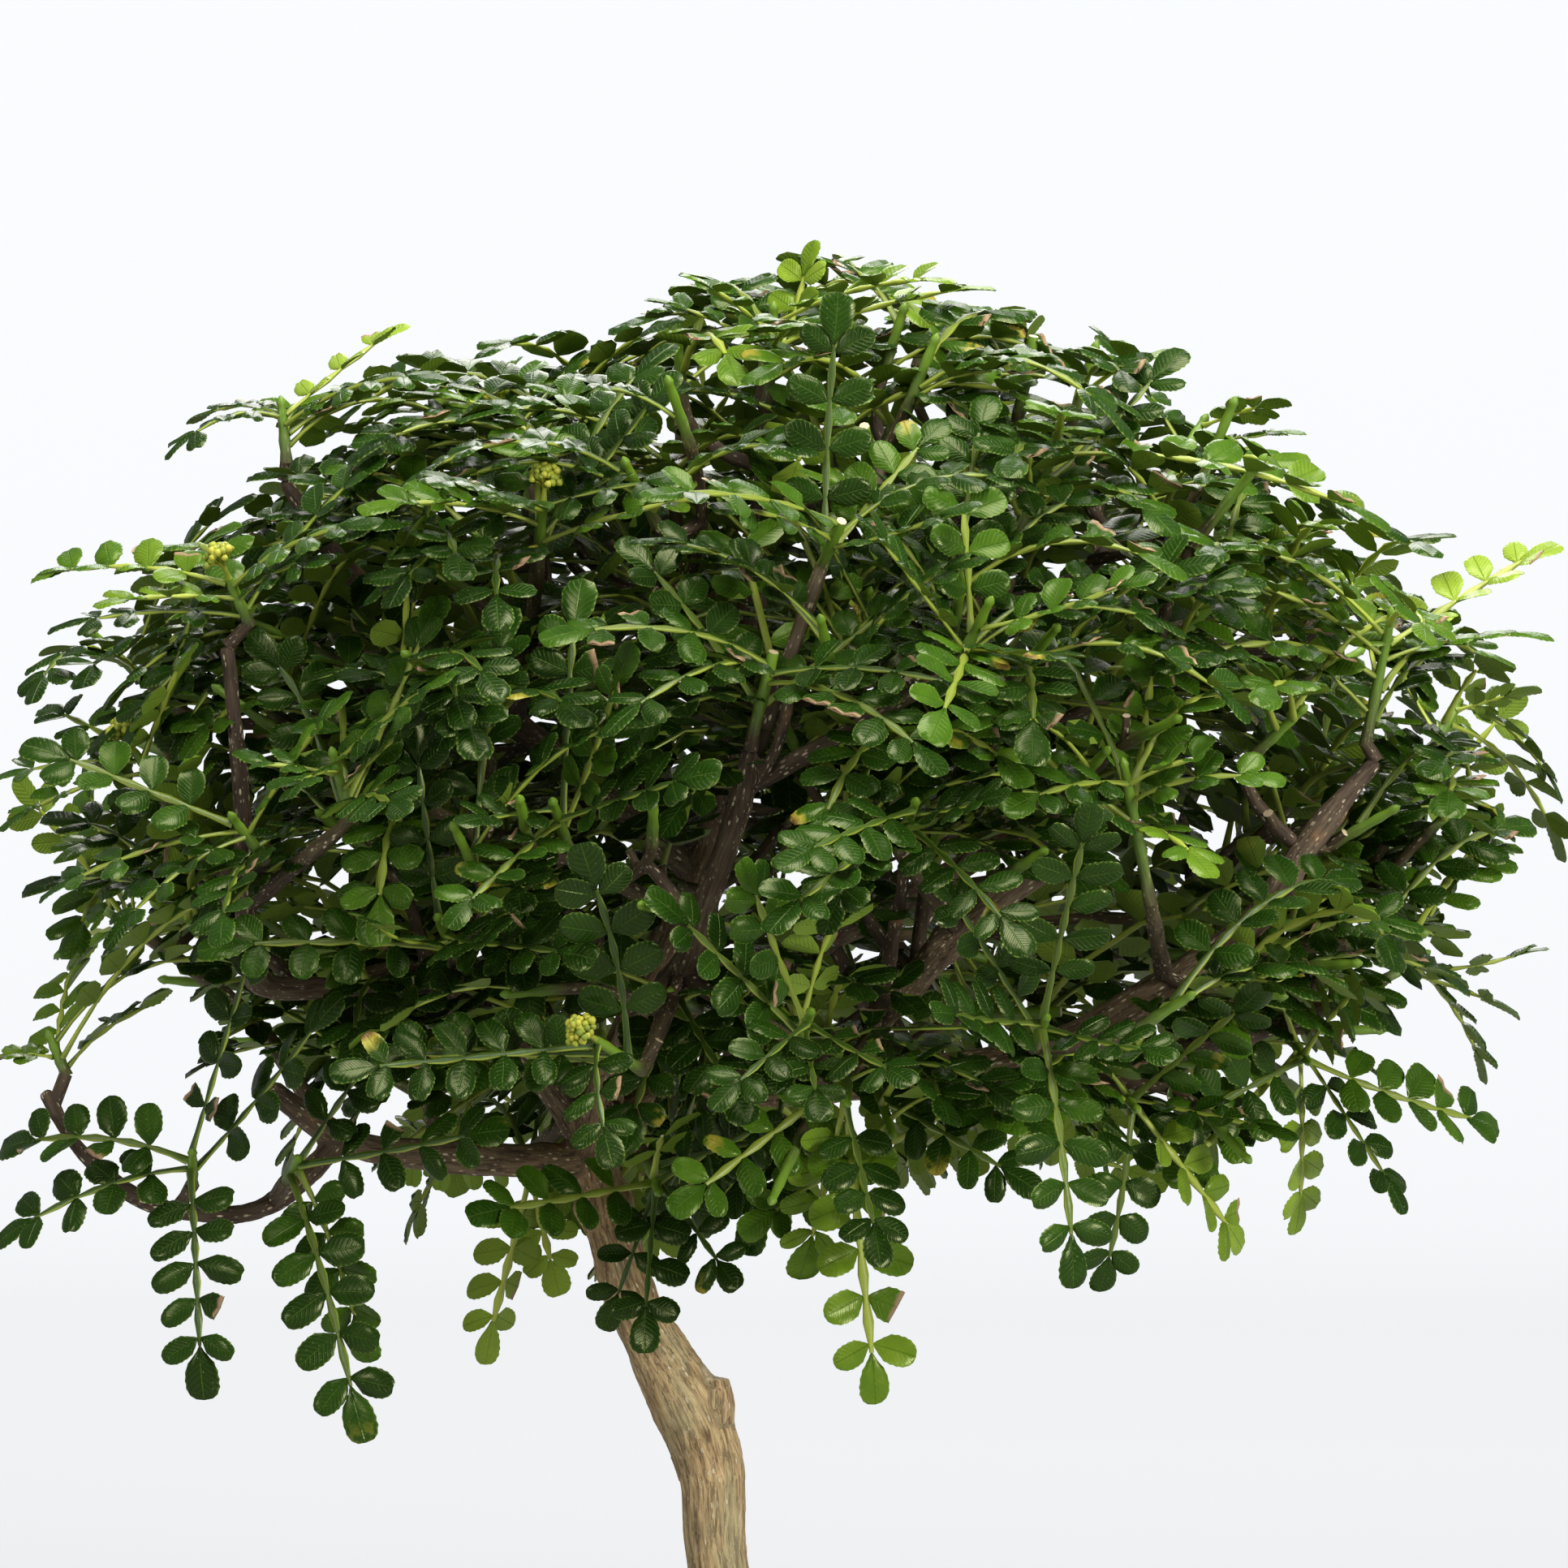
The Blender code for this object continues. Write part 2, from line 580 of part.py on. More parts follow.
def wood_pieces(sprays):
    pieces = []
    for name, rows in LIMBS.items():
        pieces.append(limb_tube(rows, TRUNK_SIDES if name == "trunk" else LIMB_SIDES))
    for rows in CUT_STUBS.values():
        pieces.append(limb_tube(rows, TWIG_SIDES))
    for spray in sprays:
        heading = (spray["tip"] - spray["foot"]).normalized()
        pieces.append(limb_tube(twig_rows(spray["foot"], spray["tip"]), TWIG_SIDES, heading))
    return pieces


def bud_pieces(spray):
    """A bud head just past the shoot's tip: a short stalk with round buds on it."""
    heading = (spray["tip"] - spray["foot"]).normalized()
    _, across, up = frames_along([spray["foot"], spray["tip"]])[0]
    start = spray["tip"] + heading * BUD_GAP
    stalk_end = start + heading * BUD_STALK_LENGTH
    pieces = [tube([start, stalk_end], BUD_STALK_RADII, BUD_STALK_SIDES)]
    for k in range(BUDS_ON_HEAD):
        angle = GOLDEN_ANGLE * k
        out = (across * math.cos(angle) + up * math.sin(angle)) * (BUD_SPREAD if k else 0.0)
        centre = start + heading * (BUD_RISE - BUD_STEP * k) + out
        pieces.append(bud(centre, BUD_RADIUS))
    return pieces


def bud(centre, radius):
    points = [centre + Vector(p) * radius for p in (
        (1, 0, 0), (0, 1, 0), (-1, 0, 0), (0, -1, 0), (0, 0, 1), (0, 0, -1))]
    faces = []
    for k in range(4):
        n = (k + 1) % 4
        faces.append((k, n, 4))
        faces.append((n, k, 5))
    return points, faces


def leaf_towards(spray, tip, place, rng, spread=0.0):
    """A leaf of this spray that ends at tip, arched over on its way there."""
    heading = (spray["tip"] - spray["foot"]).normalized()
    end = tip + Vector([rng.uniform(-1, 1) for _ in range(3)]) * spread
    way = end - spray["foot"].lerp(spray["tip"], place)
    outward = (way - heading * way.dot(heading)).normalized()
    facet = max(range(SHOOT_SIDES), key=lambda k: facet_frame(spray, k, place)[3].dot(outward))
    start = facet_frame(spray, facet, place)[0]
    way = end - start
    first = (outward + heading * ALONG_SHOOT).normalized()
    set_out = first * SET_OUT_SHARE + way.normalized() * (1 - SET_OUT_SHARE)
    lead = start + set_out * way.length * ARCH_LEAD
    facing = Vector((0, 0, FACE_UP)) + heading * FACE_ALONG_SHOOT
    facing += (end - CROWN_CENTRE).normalized() * FACE_OUTWARD
    facing += Vector([rng.uniform(-FACE_WANDER, FACE_WANDER) for _ in range(3)])
    drop = way.normalized()
    facing -= drop * facing.dot(drop)
    width = min(1.0, SHORT_LEAF_WIDTH + (1 - SHORT_LEAF_WIDTH) * way.length / LEAF_LENGTH)
    return {
        "start": start,
        "lead": lead,
        "tip": end,
        "facing": facing.normalized(),
        "reach": LEAFLET_REACH * width,
        "pairs": LEAFLET_PAIRS,
        "facet": facet,
        "place": place,
    }


def has_own_root(leaf, spray):
    """Whether the leaf's root keeps clear of the other roots on the same side of the shoot."""
    length = (spray["tip"] - spray["foot"]).length
    for other in spray["leaves"]:
        near = abs(other["place"] - leaf["place"]) * length < ROOT_SPACING
        if near and other["facet"] == leaf["facet"]:
            return False
    return ROOT_SPACING / 2 < leaf["place"] * length < length - ROOT_SPACING / 2


def free_leaf(spray, turn, place, rng):
    """A leaf that leaves the shoot at this turn round it and droops a little."""
    heading, across, up = frames_along([spray["foot"], spray["tip"]])[0]
    out = across * math.cos(turn) + up * math.sin(turn)
    open_angle = rng.uniform(*OPEN_ANGLES)
    way = heading * math.cos(open_angle) + out * math.sin(open_angle)
    way += Vector((0, 0, -rng.uniform(*LEAF_SAGS)))
    outer = (spray["foot"] - CROWN_CENTRE).normalized()
    way = (way + outer * PULL_OUTWARD).normalized()
    start = spray["foot"].lerp(spray["tip"], place)
    length = LEAF_LENGTH * rng.uniform(*LEAF_LENGTH_SHARES)
    return leaf_towards(spray, start + way * length, place, rng)


class Room:
    """What is already placed, so that each new leaf keeps clear of it."""

    def __init__(self, fixed, sprays):
        self.fixed = [tree_of(shape) for shape in fixed]
        self.shoots = [(spray, tree_of(shoot_tube(spray))) for spray in sprays]
        self.placed = []

    def is_free(self, leaf, spray):
        if not has_own_root(leaf, spray):
            return False
        wide = tree_of(leaf_blade(leaf, CLEARANCE))
        upper = tree_of(leaf_blade(leaf, CLEARANCE, 1))
        if any(wide.overlap(tree) for tree in self.fixed):
            return False
        middle = (leaf["start"] + leaf["tip"]) / 2
        for other in self.placed:
            if (other["middle"] - middle).length > NEIGHBOUR_REACH:
                continue
            own = other["spray"] is spray
            if (upper if own else wide).overlap(other["upper"] if own else other["whole"]):
                return False
        for other_spray, shoot in self.shoots:
            own = other_spray is spray
            if (upper if own else wide).overlap(shoot):
                return False
        return True

    def add(self, leaf, spray):
        self.placed.append({
            "middle": (leaf["start"] + leaf["tip"]) / 2,
            "spray": spray,
            "whole": tree_of(leaf_blade(leaf)),
            "upper": tree_of(leaf_blade(leaf, 0.0, 1)),
        })
        spray["leaves"].append(leaf)


def grow_leaves(sprays, fixed):
    room = Room(fixed, sprays)
    for index, spray in enumerate(sprays):
        spray["rng"] = random.Random(SEED * 1000 + index)
        spray["turn"] = spray["rng"].uniform(0, math.tau)
    for spray in sprays:
        for key in spray["keys"]:
            for attempt in range(KEY_LEAF_TRIES):
                place = spray["rng"].uniform(*KEY_LEAF_PLACES)
                leaf = leaf_towards(spray, key, place, spray["rng"], attempt * KEY_LEAF_WANDER)
                if room.is_free(leaf, spray):
                    room.add(leaf, spray)
                    break
    for layer in range(max(spray["more"] for spray in sprays)):
        for spray in sprays:
            if layer >= spray["more"]:
                continue
            for attempt in range(LEAF_TRIES):
                spray["turn"] += GOLDEN_ANGLE
                place = spray["rng"].uniform(*FREE_LEAF_PLACES)
                leaf = free_leaf(spray, spray["turn"], place, spray["rng"])
                if in_crown(leaf["tip"]) and room.is_free(leaf, spray):
                    room.add(leaf, spray)
                    break


def rounded_ring(length, depth, corner, z):
    """Points of a rounded rectangle, counterclockwise from its +X side."""
    points = []
    for quarter in range(4):
        sx = 1 if quarter in (0, 3) else -1
        sy = 1 if quarter in (0, 1) else -1
        for k in range(POT_CORNER_STEPS + 1):
            angle = math.pi / 2 * (quarter + k / POT_CORNER_STEPS)
            points.append(Vector((
                sx * (length / 2 - corner) + corner * math.cos(angle),
                sy * (depth / 2 - corner) + corner * math.sin(angle),
                z,
            )))
    return points


def stacked(rings):
    """A closed body whose skin runs from the first ring to the last, each end closed flat."""
    sides = len(rings[0])
    points = [p for ring in rings for p in ring]
    faces = []
    for ring in range(len(rings) - 1):
        for k in range(sides):
            a = ring * sides + k
            b = ring * sides + (k + 1) % sides
            faces.append((a, b, b + sides, a + sides))
    faces.append(tuple(reversed(range(sides))))
    last = (len(rings) - 1) * sides
    faces.append(tuple(range(last, last + sides)))
    return points, faces


def block(x, y, z_low, z_high, length, depth):
    points = []
    for z in (z_low, z_high):
        for sx, sy in ((-1, -1), (1, -1), (1, 1), (-1, 1)):
            points.append(Vector((x + sx * length / 2, y + sy * depth / 2, z)))
    faces = [(3, 2, 1, 0), (4, 5, 6, 7), (0, 1, 5, 4), (1, 2, 6, 5), (2, 3, 7, 6), (3, 0, 4, 7)]
    return points, faces


def make_pot():
    foot_length = POT_LENGTH - 2 * POT_FOOT_INSET
    foot_depth = POT_DEPTH - 2 * POT_FOOT_INSET
    wall_length = POT_LENGTH - 2 * POT_LIP_REACH
    wall_depth = POT_DEPTH - 2 * POT_LIP_REACH
    lip_bottom = POT_HEIGHT - POT_LIP_HEIGHT
    inner = 2 * (POT_LIP_REACH + POT_WALL)
    floor_top = POT_FOOT_HEIGHT + POT_FLOOR
    edge = LIP_CHAMFER
    mouth_length = POT_LENGTH - inner
    mouth_depth = POT_DEPTH - inner
    floor_length = foot_length - 2 * FLOOR_INSET
    floor_depth = foot_depth - 2 * FLOOR_INSET
    rings = [
        rounded_ring(foot_length, foot_depth, POT_FOOT_CORNER, POT_FOOT_HEIGHT),
        rounded_ring(wall_length, wall_depth, POT_WALL_CORNER, lip_bottom),
        rounded_ring(POT_LENGTH, POT_DEPTH, POT_CORNER, lip_bottom + edge),
        rounded_ring(POT_LENGTH, POT_DEPTH, POT_CORNER, POT_HEIGHT - edge),
        rounded_ring(POT_LENGTH - 2 * edge, POT_DEPTH - 2 * edge, POT_CORNER - edge, POT_HEIGHT),
        rounded_ring(mouth_length + 2 * edge, mouth_depth + 2 * edge, POT_INNER_CORNER + edge, POT_HEIGHT),
        rounded_ring(mouth_length, mouth_depth, POT_INNER_CORNER, POT_HEIGHT - MOUTH_CHAMFER),
        rounded_ring(floor_length, floor_depth, POT_FLOOR_CORNER, floor_top),
    ]
    pot = object_of("pot", *stacked(rings))
    feet = []
    foot_x = foot_length / 2 - FOOT_LENGTH / 2 - FOOT_SETBACK
    foot_y = foot_depth / 2 - FOOT_DEPTH / 2 - FOOT_SETBACK
    foot_top = POT_FOOT_HEIGHT + FOOT_SUNK
    for sx in (-1, 1):
        for sy in (-1, 1):
            feet.append(block(sx * foot_x, sy * foot_y, 0, foot_top, FOOT_LENGTH, FOOT_DEPTH))
    booleaned(pot, "UNION", feet)
    drains = []
    for side in (-1, 1):
        path = [Vector((side * DRAIN_OFFSET, 0, -2)), Vector((side * DRAIN_OFFSET, 0, floor_top + 2))]
        drains.append(tube(path, [DRAIN_RADIUS] * 2, DRAIN_SIDES))
    booleaned(pot, "DIFFERENCE", drains)
    pot.data.materials.append(material_of("pot_clay", POT_COLOUR, 0.6))
    return pot


def make_soil():
    foot_length = POT_LENGTH - 2 * POT_FOOT_INSET
    foot_depth = POT_DEPTH - 2 * POT_FOOT_INSET
    inner = 2 * (POT_LIP_REACH + POT_WALL)
    floor_top = POT_FOOT_HEIGHT + POT_FLOOR
    top = POT_HEIGHT - SOIL_BELOW_RIM
    span = POT_HEIGHT - MOUTH_CHAMFER - floor_top
    share = (top - floor_top) / span
    bottom = (foot_length - 2 * FLOOR_INSET, foot_depth - 2 * FLOOR_INSET, POT_FLOOR_CORNER)
    upper = (POT_LENGTH - inner, POT_DEPTH - inner, POT_INNER_CORNER)
    edge = [low + (high - low) * share for low, high in zip(bottom, upper)]
    slack = 2 * FIT_GAP
    shoulder = [size * SOIL_SHOULDER_SHARE for size in edge]
    crown = [size * SOIL_CROWN_SHARE for size in edge]
    rings = [
        rounded_ring(bottom[0] - slack, bottom[1] - slack, bottom[2], floor_top + FIT_GAP),
        rounded_ring(edge[0] - slack, edge[1] - slack, edge[2], top),
        rounded_ring(*shoulder, top + SOIL_MOUND * SOIL_SHOULDER_RISE),
        rounded_ring(*crown, top + SOIL_MOUND),
    ]
    soil = object_of("soil", *stacked(rings))
    foot = LIMBS["trunk"][0]
    path = [Vector((foot[0], foot[1], foot[2] - FIT_GAP)), Vector((foot[0], foot[1], POT_HEIGHT + 20))]
    booleaned(soil, "DIFFERENCE", [tube(path, [FOOT_RADIUS + HOLE_GAP] * 2, TRUNK_SIDES)])
    soil.data.materials.append(material_of("soil_dark", SOIL_COLOUR, 0.95))
    return soil


def make_wood(pieces):
    wood = object_of("wood", *pieces[0])
    booleaned(wood, "UNION", pieces[1:])
    wood.data.materials.append(material_of("bark", WOOD_COLOUR, 0.8))
    return wood


def make_spray(spray):
    obj = object_of(spray["name"], *spray_shape(spray))
    colour = LEAF_COLOURS[spray["tone"]]
    obj.data.materials.append(material_of(spray["name"] + "_green", colour, 0.4))
    return obj


def make_buds(spray):
    pieces = bud_pieces(spray)
    name = spray["name"].replace("spray_", "buds_")
    obj = object_of(name, *pieces[0])
    booleaned(obj, "UNION", pieces[1:])
    obj.data.materials.append(material_of(name + "_yellow", BUD_COLOUR, 0.7))
    return obj


def main():
    clear_scene()
    sprays = planned_sprays()
    pieces = wood_pieces(sprays)
    budding = [spray for spray in sprays if spray["buds"]]
    fixed = pieces + [shape for spray in budding for shape in bud_pieces(spray)]
    grow_leaves(sprays, fixed)
    make_pot()
    make_soil()
    make_wood(pieces)
    for spray in sprays:
        make_spray(spray)
    for spray in budding:
        make_buds(spray)


main()
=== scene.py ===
import math
import random
from math import cos, pi, sin, tau

import bmesh
import bpy
from mathutils import Matrix, Vector, noise
from mathutils.bvhtree import BVHTree
from mathutils.kdtree import KDTree


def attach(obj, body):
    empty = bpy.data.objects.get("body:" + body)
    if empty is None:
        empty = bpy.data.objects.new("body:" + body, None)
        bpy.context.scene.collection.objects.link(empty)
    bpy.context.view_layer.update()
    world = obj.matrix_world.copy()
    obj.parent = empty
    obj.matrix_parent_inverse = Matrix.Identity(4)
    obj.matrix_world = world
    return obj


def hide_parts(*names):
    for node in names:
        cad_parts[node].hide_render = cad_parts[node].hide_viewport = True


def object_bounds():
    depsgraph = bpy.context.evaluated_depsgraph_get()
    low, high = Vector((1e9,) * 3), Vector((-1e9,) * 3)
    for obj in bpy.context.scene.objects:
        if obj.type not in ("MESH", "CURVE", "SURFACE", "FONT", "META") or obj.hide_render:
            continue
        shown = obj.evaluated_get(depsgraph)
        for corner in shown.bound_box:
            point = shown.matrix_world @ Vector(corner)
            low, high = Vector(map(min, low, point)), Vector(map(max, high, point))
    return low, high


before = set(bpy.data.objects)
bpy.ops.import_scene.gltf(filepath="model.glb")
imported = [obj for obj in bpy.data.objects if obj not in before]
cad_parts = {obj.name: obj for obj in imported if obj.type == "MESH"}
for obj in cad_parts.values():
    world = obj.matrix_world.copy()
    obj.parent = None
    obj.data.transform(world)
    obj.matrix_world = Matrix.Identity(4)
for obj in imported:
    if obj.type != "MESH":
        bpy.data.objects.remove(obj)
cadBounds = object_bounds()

mm = 0.001
golden = math.radians(137.5)
up = Vector((0, 0, 1))
print("bonsai: frame loaded,", len(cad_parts), "nodes")


# node helpers: a Wire is an output socket that can be reckoned with
def reckoned(operation, swapped=False):
    def method(self, other=0.0):
        a, b = (other, self) if swapped else (self, other)
        return wire(self.tree, "ShaderNodeMath", {0: a, 1: b}, operation=operation)
    return method


class Wire:
    def __init__(self, socket):
        self.socket, self.tree = socket, socket.id_data

    __add__ = __radd__ = reckoned("ADD")
    __mul__ = __rmul__ = reckoned("MULTIPLY")
    __sub__, __rsub__ = reckoned("SUBTRACT"), reckoned("SUBTRACT", True)
    __truediv__, __rtruediv__ = reckoned("DIVIDE"), reckoned("DIVIDE", True)
    __pow__, __gt__ = reckoned("POWER"), reckoned("GREATER_THAN")
    atLeast, size, sine = reckoned("MAXIMUM"), reckoned("ABSOLUTE"), reckoned("SINE")

    def spread(self, low, high, toLow=0.0, toHigh=1.0):
        return wire(self.tree, "ShaderNodeMapRange", {0: self, 1: low, 2: high, 3: toLow, 4: toHigh})

    def vector(self, operation, other, key=1):
        return wire(self.tree, "ShaderNodeVectorMath", {0: self, key: other}, operation=operation)

    def split(self):
        return [Wire(part) for part in addNode(self.tree, "ShaderNodeSeparateXYZ", {0: self}).outputs]


def feed(node, inputs):
    for key, value in inputs.items():
        socket = node.inputs[key]
        if isinstance(value, Wire):
            node.id_data.links.new(value.socket, socket)
        else:
            socket.default_value = (*value, 1) if socket.type == "RGBA" and len(value) == 3 else value
    return node


def addNode(tree, kind, inputs=None, **settings):
    node = tree.nodes.new(kind)
    for name, value in settings.items():
        setattr(node, name, value)
    return feed(node, inputs or {})


def wire(tree, kind, inputs=None, output=0, **settings):
    return Wire(addNode(tree, kind, inputs, **settings).outputs[output])


def newTree(kind, name, inputs, outputs):  # label to kind of socket, and its value where it has one
    tree = bpy.data.node_groups.new(name, kind)
    for side, rows in (("INPUT", inputs), ("OUTPUT", outputs)):
        for label, (sort, *value) in rows.items():
            socket = tree.interface.new_socket(label, in_out=side, socket_type="NodeSocket" + sort)
            if value:
                socket.default_value = value[0]
    given = {socket.name: Wire(socket) for socket in tree.nodes.new("NodeGroupInput").outputs if socket.name}
    return tree, given, tree.nodes.new("NodeGroupOutput")


def newMaterial(name):
    material = bpy.data.materials.new(name)
    material.use_nodes = True
    return material, material.node_tree, material.node_tree.nodes["Principled BSDF"]


def mixed(share, a, b, blend="MIX"):
    tree = next(value.tree for value in (share, a, b) if isinstance(value, Wire))
    return wire(tree, "ShaderNodeMix", {0: share, 6: a, 7: b}, 2, data_type="RGBA", blend_type=blend)


def ramp(value, stops):
    node = addNode(value.tree, "ShaderNodeValToRGB", {0: value})
    elements = node.color_ramp.elements
    for element, (place, colour) in zip(elements, (stops[0], stops[-1])):
        element.position, element.color = place, (*colour, 1)
    for place, colour in stops[1:-1]:
        elements.new(place).color = (*colour, 1)
    return Wire(node.outputs[0])


def named(tree, name, output="Fac"):
    return wire(tree, "ShaderNodeAttribute", output=output, attribute_name=name)


def noisy(place, scale, detail, roughness=0.5):
    inputs = {"Vector": place, "Scale": scale, "Detail": detail, "Roughness": roughness}
    return wire(place.tree, "ShaderNodeTexNoise", inputs)


def objectPlace(tree):
    return wire(tree, "ShaderNodeTexCoord", output="Object")


def bump(height, distance, strength):
    return wire(height.tree, "ShaderNodeBump", {"Height": height, "Distance": distance, "Strength": strength})


# mesh helpers
def linked(name, data):
    obj = bpy.data.objects.new(name, data)
    bpy.context.scene.collection.objects.link(obj)
    return obj


def giveAttribute(mesh, name, values, kind="FLOAT", domain="POINT"):
    layer = mesh.attributes.new(name, kind, domain).data
    layer.foreach_set("vector" if kind == "FLOAT_VECTOR" else "value", values)


def triangles(*pieces):
    return sum(len(face.vertices) - 2 for piece in pieces for face in piece.data.polygons)


def baked(piece):  # what the modifiers make becomes the mesh
    bpy.context.view_layer.update()
    mesh = bpy.data.meshes.new_from_object(piece.evaluated_get(bpy.context.evaluated_depsgraph_get()))
    piece.modifiers.clear()
    old, piece.data = piece.data, mesh
    mesh.name = piece.name
    bpy.data.meshes.remove(old)
    return piece


def settle(piece, kind, **settings):
    modifier = piece.modifiers.new(kind.lower(), kind)
    for name, value in settings.items():
        setattr(modifier, name, value)


def grownThrough(piece, tree, values):
    modifier = piece.modifiers.new("grown", "NODES")
    modifier.node_group = tree
    for item in tree.interface.items_tree:
        if item.in_out == "INPUT" and item.name in values:
            modifier[item.identifier] = values[item.name]
    return baked(piece)


def onlyMaterial(mesh, material):
    mesh.materials.clear()
    mesh.materials.append(material)


def loft(rings):  # a closed skin over rings of equally many points
    count, points = len(rings[0]), [p for ring in rings for p in ring]
    faces, last = [], len(points) - count
    for base in range(0, last, count):
        for k in range(count):
            a, b = base + k, base + (k + 1) % count
            faces.append((a, b, b + count, a + count))
    return points, faces + [tuple(reversed(range(count))), tuple(range(last, last + count))]


def turned(across, rise, angle):
    return across * cos(angle) + rise * sin(angle)


def framesAlong(points, lastWay=None):  # the way at each point and two axes across it
    frames, cross, last = [], None, len(points) - 1
    for i in range(last + 1):
        way = (points[min(i + 1, last)] - points[max(i - 1, 0)]).normalized()
        if lastWay and i == last:
            way = lastWay
        if cross is None:
            cross = Vector((1, 0, 0)) if abs(way.x) < 0.9 else Vector((0, 1, 0))
        cross = (cross - way * cross.dot(way)).normalized()
        frames.append((way, cross, way.cross(cross)))
    return frames


def tubeSkin(path, radii, sides, lastWay=None):
    return loft([[centre + turned(across, rise, tau * k / sides) * radius for k in range(sides)]
                 for centre, radius, (_, across, rise) in zip(path, radii, framesAlong(path, lastWay))])


def limbSkin(rows, sides, lastWay=None):
    return tubeSkin([Vector(row[:3]) for row in rows], [row[3] for row in rows], sides, lastWay)


def joinedSkins(name, shapes):
    points, faces = [], []
    for shapePoints, shapeFaces in shapes:
        base = len(points)
        points += [tuple(p * mm) for p in shapePoints]
        faces += [tuple(v + base for v in face) for face in shapeFaces]
    mesh = bpy.data.meshes.new(name)
    mesh.from_pydata(points, [], faces)
    return linked(name, mesh)


# camera, light, backdrop
studio = {
    "cameraAway": 1.5, "cameraHeight": 0.2648, "frameWidth": 0.2995, "sensor": 36.0, "clip": (0.05, 60),
    "floorRadius": 3.3, "floorRings": (0.6, 1.6), "sweepRadius": 0.9, "sweepSteps": 12, "wallHeight": 1.7, "sides": 96,
    "paper": (0.24, 0.242, 0.246), "paperGrain": 1.4, "paperShades": (0.99, 1.01), "paperRoughness": 0.95,
    "paperGlow": (0.955, 0.975, 1.0), "glowUnseen": 0.22, "glowReach": 4.5,
    "glow": [(0.16, 0.48), (0.26, 0.60), (0.36, 0.70), (0.47, 0.785), (0.64, 0.84), (0.76, 0.87), (1.0, 0.91)],
    "worldColour": (1.0, 0.985, 0.955), "worldStrength": 0.22,
    "lamps": [  # name, place, aims at, width, watts, colour
        ("overheadSoftbox", (0.15, -0.35, 1.35), (0, 0, 0.26), 0.7, 21, (1.0, 0.985, 0.95)),
        ("frontLeftSoftbox", (-1.2, -1.35, 0.85), (0, 0, 0.22), 0.4, 9, (1.0, 0.99, 0.96)),
        ("rightSoftbox", (1.2, -1.2, 0.65), (0, 0, 0.2), 0.4, 20, (1.0, 0.99, 0.97)),
        ("backSoftbox", (0.1, 1.4, 1.3), (0, 0, 0.28), 0.9, 12, (1.0, 0.99, 0.96)),
    ],
}


def paperSkin():  # it glows, brighter to the eye and further off, so that it is pale and doesn't veil the leaves
    material, tree, shader = newMaterial("palePaper")
    place = objectPlace(tree)
    dark, light = ([min(c * share, 1) for c in studio["paper"]] for share in studio["paperShades"])
    away = wire(tree, "ShaderNodeVectorMath", {0: place}, "Value", operation="LENGTH")
    shown = ramp(away / studio["glowReach"], [(at, (level,) * 3) for at, level in studio["glow"]])
    seen = wire(tree, "ShaderNodeLightPath", output="Is Camera Ray")
    feed(shader, {
        "Base Color": mixed(noisy(place, studio["paperGrain"], 3.0), dark, light),
        "Roughness": studio["paperRoughness"], "Emission Color": studio["paperGlow"],
        "Emission Strength": wire(tree, "ShaderNodeMix", {0: seen, 2: studio["glowUnseen"], 3: shown})})
    material.cycles.emission_sampling = "NONE"
    return material


def buildStudio():
    camera = linked("camera", bpy.data.cameras.new("camera"))
    camera.data.sensor_width = studio["sensor"]
    camera.data.lens = studio["sensor"] * studio["cameraAway"] / studio["frameWidth"]
    camera.data.clip_start, camera.data.clip_end = studio["clip"]
    camera.location = (0, -studio["cameraAway"], studio["cameraHeight"])
    camera.rotation_euler = (pi / 2, 0, 0)
    bpy.context.scene.camera = camera

    radius, sweep, sides = studio["floorRadius"], studio["sweepRadius"], studio["sides"]
    profile = [(away, 0.0) for away in (*studio["floorRings"], radius)]
    for k in range(1, studio["sweepSteps"] + 1):
        angle = pi / 2 * k / studio["sweepSteps"]
        profile.append((radius + sweep * sin(angle), sweep * (1 - cos(angle))))
    profile.append((radius + sweep, studio["wallHeight"]))
    points = [(0.0, 0.0, 0.0)]
    points += [(away * cos(tau * k / sides), away * sin(tau * k / sides), height)
               for away, height in profile for k in range(sides)]
    faces = [(0, 1 + k, 1 + (k + 1) % sides) for k in range(sides)]
    for base in range(1, len(points) - sides, sides):
        for k in range(sides):
            a, b = base + k, base + (k + 1) % sides
            faces.append((a, a + sides, b + sides, b))
    mesh = bpy.data.meshes.new("paperSweep")
    mesh.from_pydata(points, [], faces)
    mesh.shade_smooth()
    mesh.materials.append(paperSkin())
    sweepObject = linked("paperSweep", mesh)

    world = bpy.data.worlds.new("softSky")
    world.use_nodes = True
    feed(world.node_tree.nodes["Background"], {0: studio["worldColour"], 1: studio["worldStrength"]})
    bpy.context.scene.world = world
    for name, place, target, width, watts, colour in studio["lamps"]:
        lamp = linked(name, bpy.data.lights.new(name, "AREA"))
        lamp.data.shape, lamp.data.size, lamp.data.energy, lamp.data.color = "SQUARE", width, watts, colour
        lamp.location = place
        lamp.rotation_euler = (Vector(target) - Vector(place)).to_track_quat("-Z", "Y").to_euler()
    view = bpy.context.scene.view_settings
    view.view_transform, view.look = "Standard", "None"


buildStudio()
print("bonsai: studio ready")


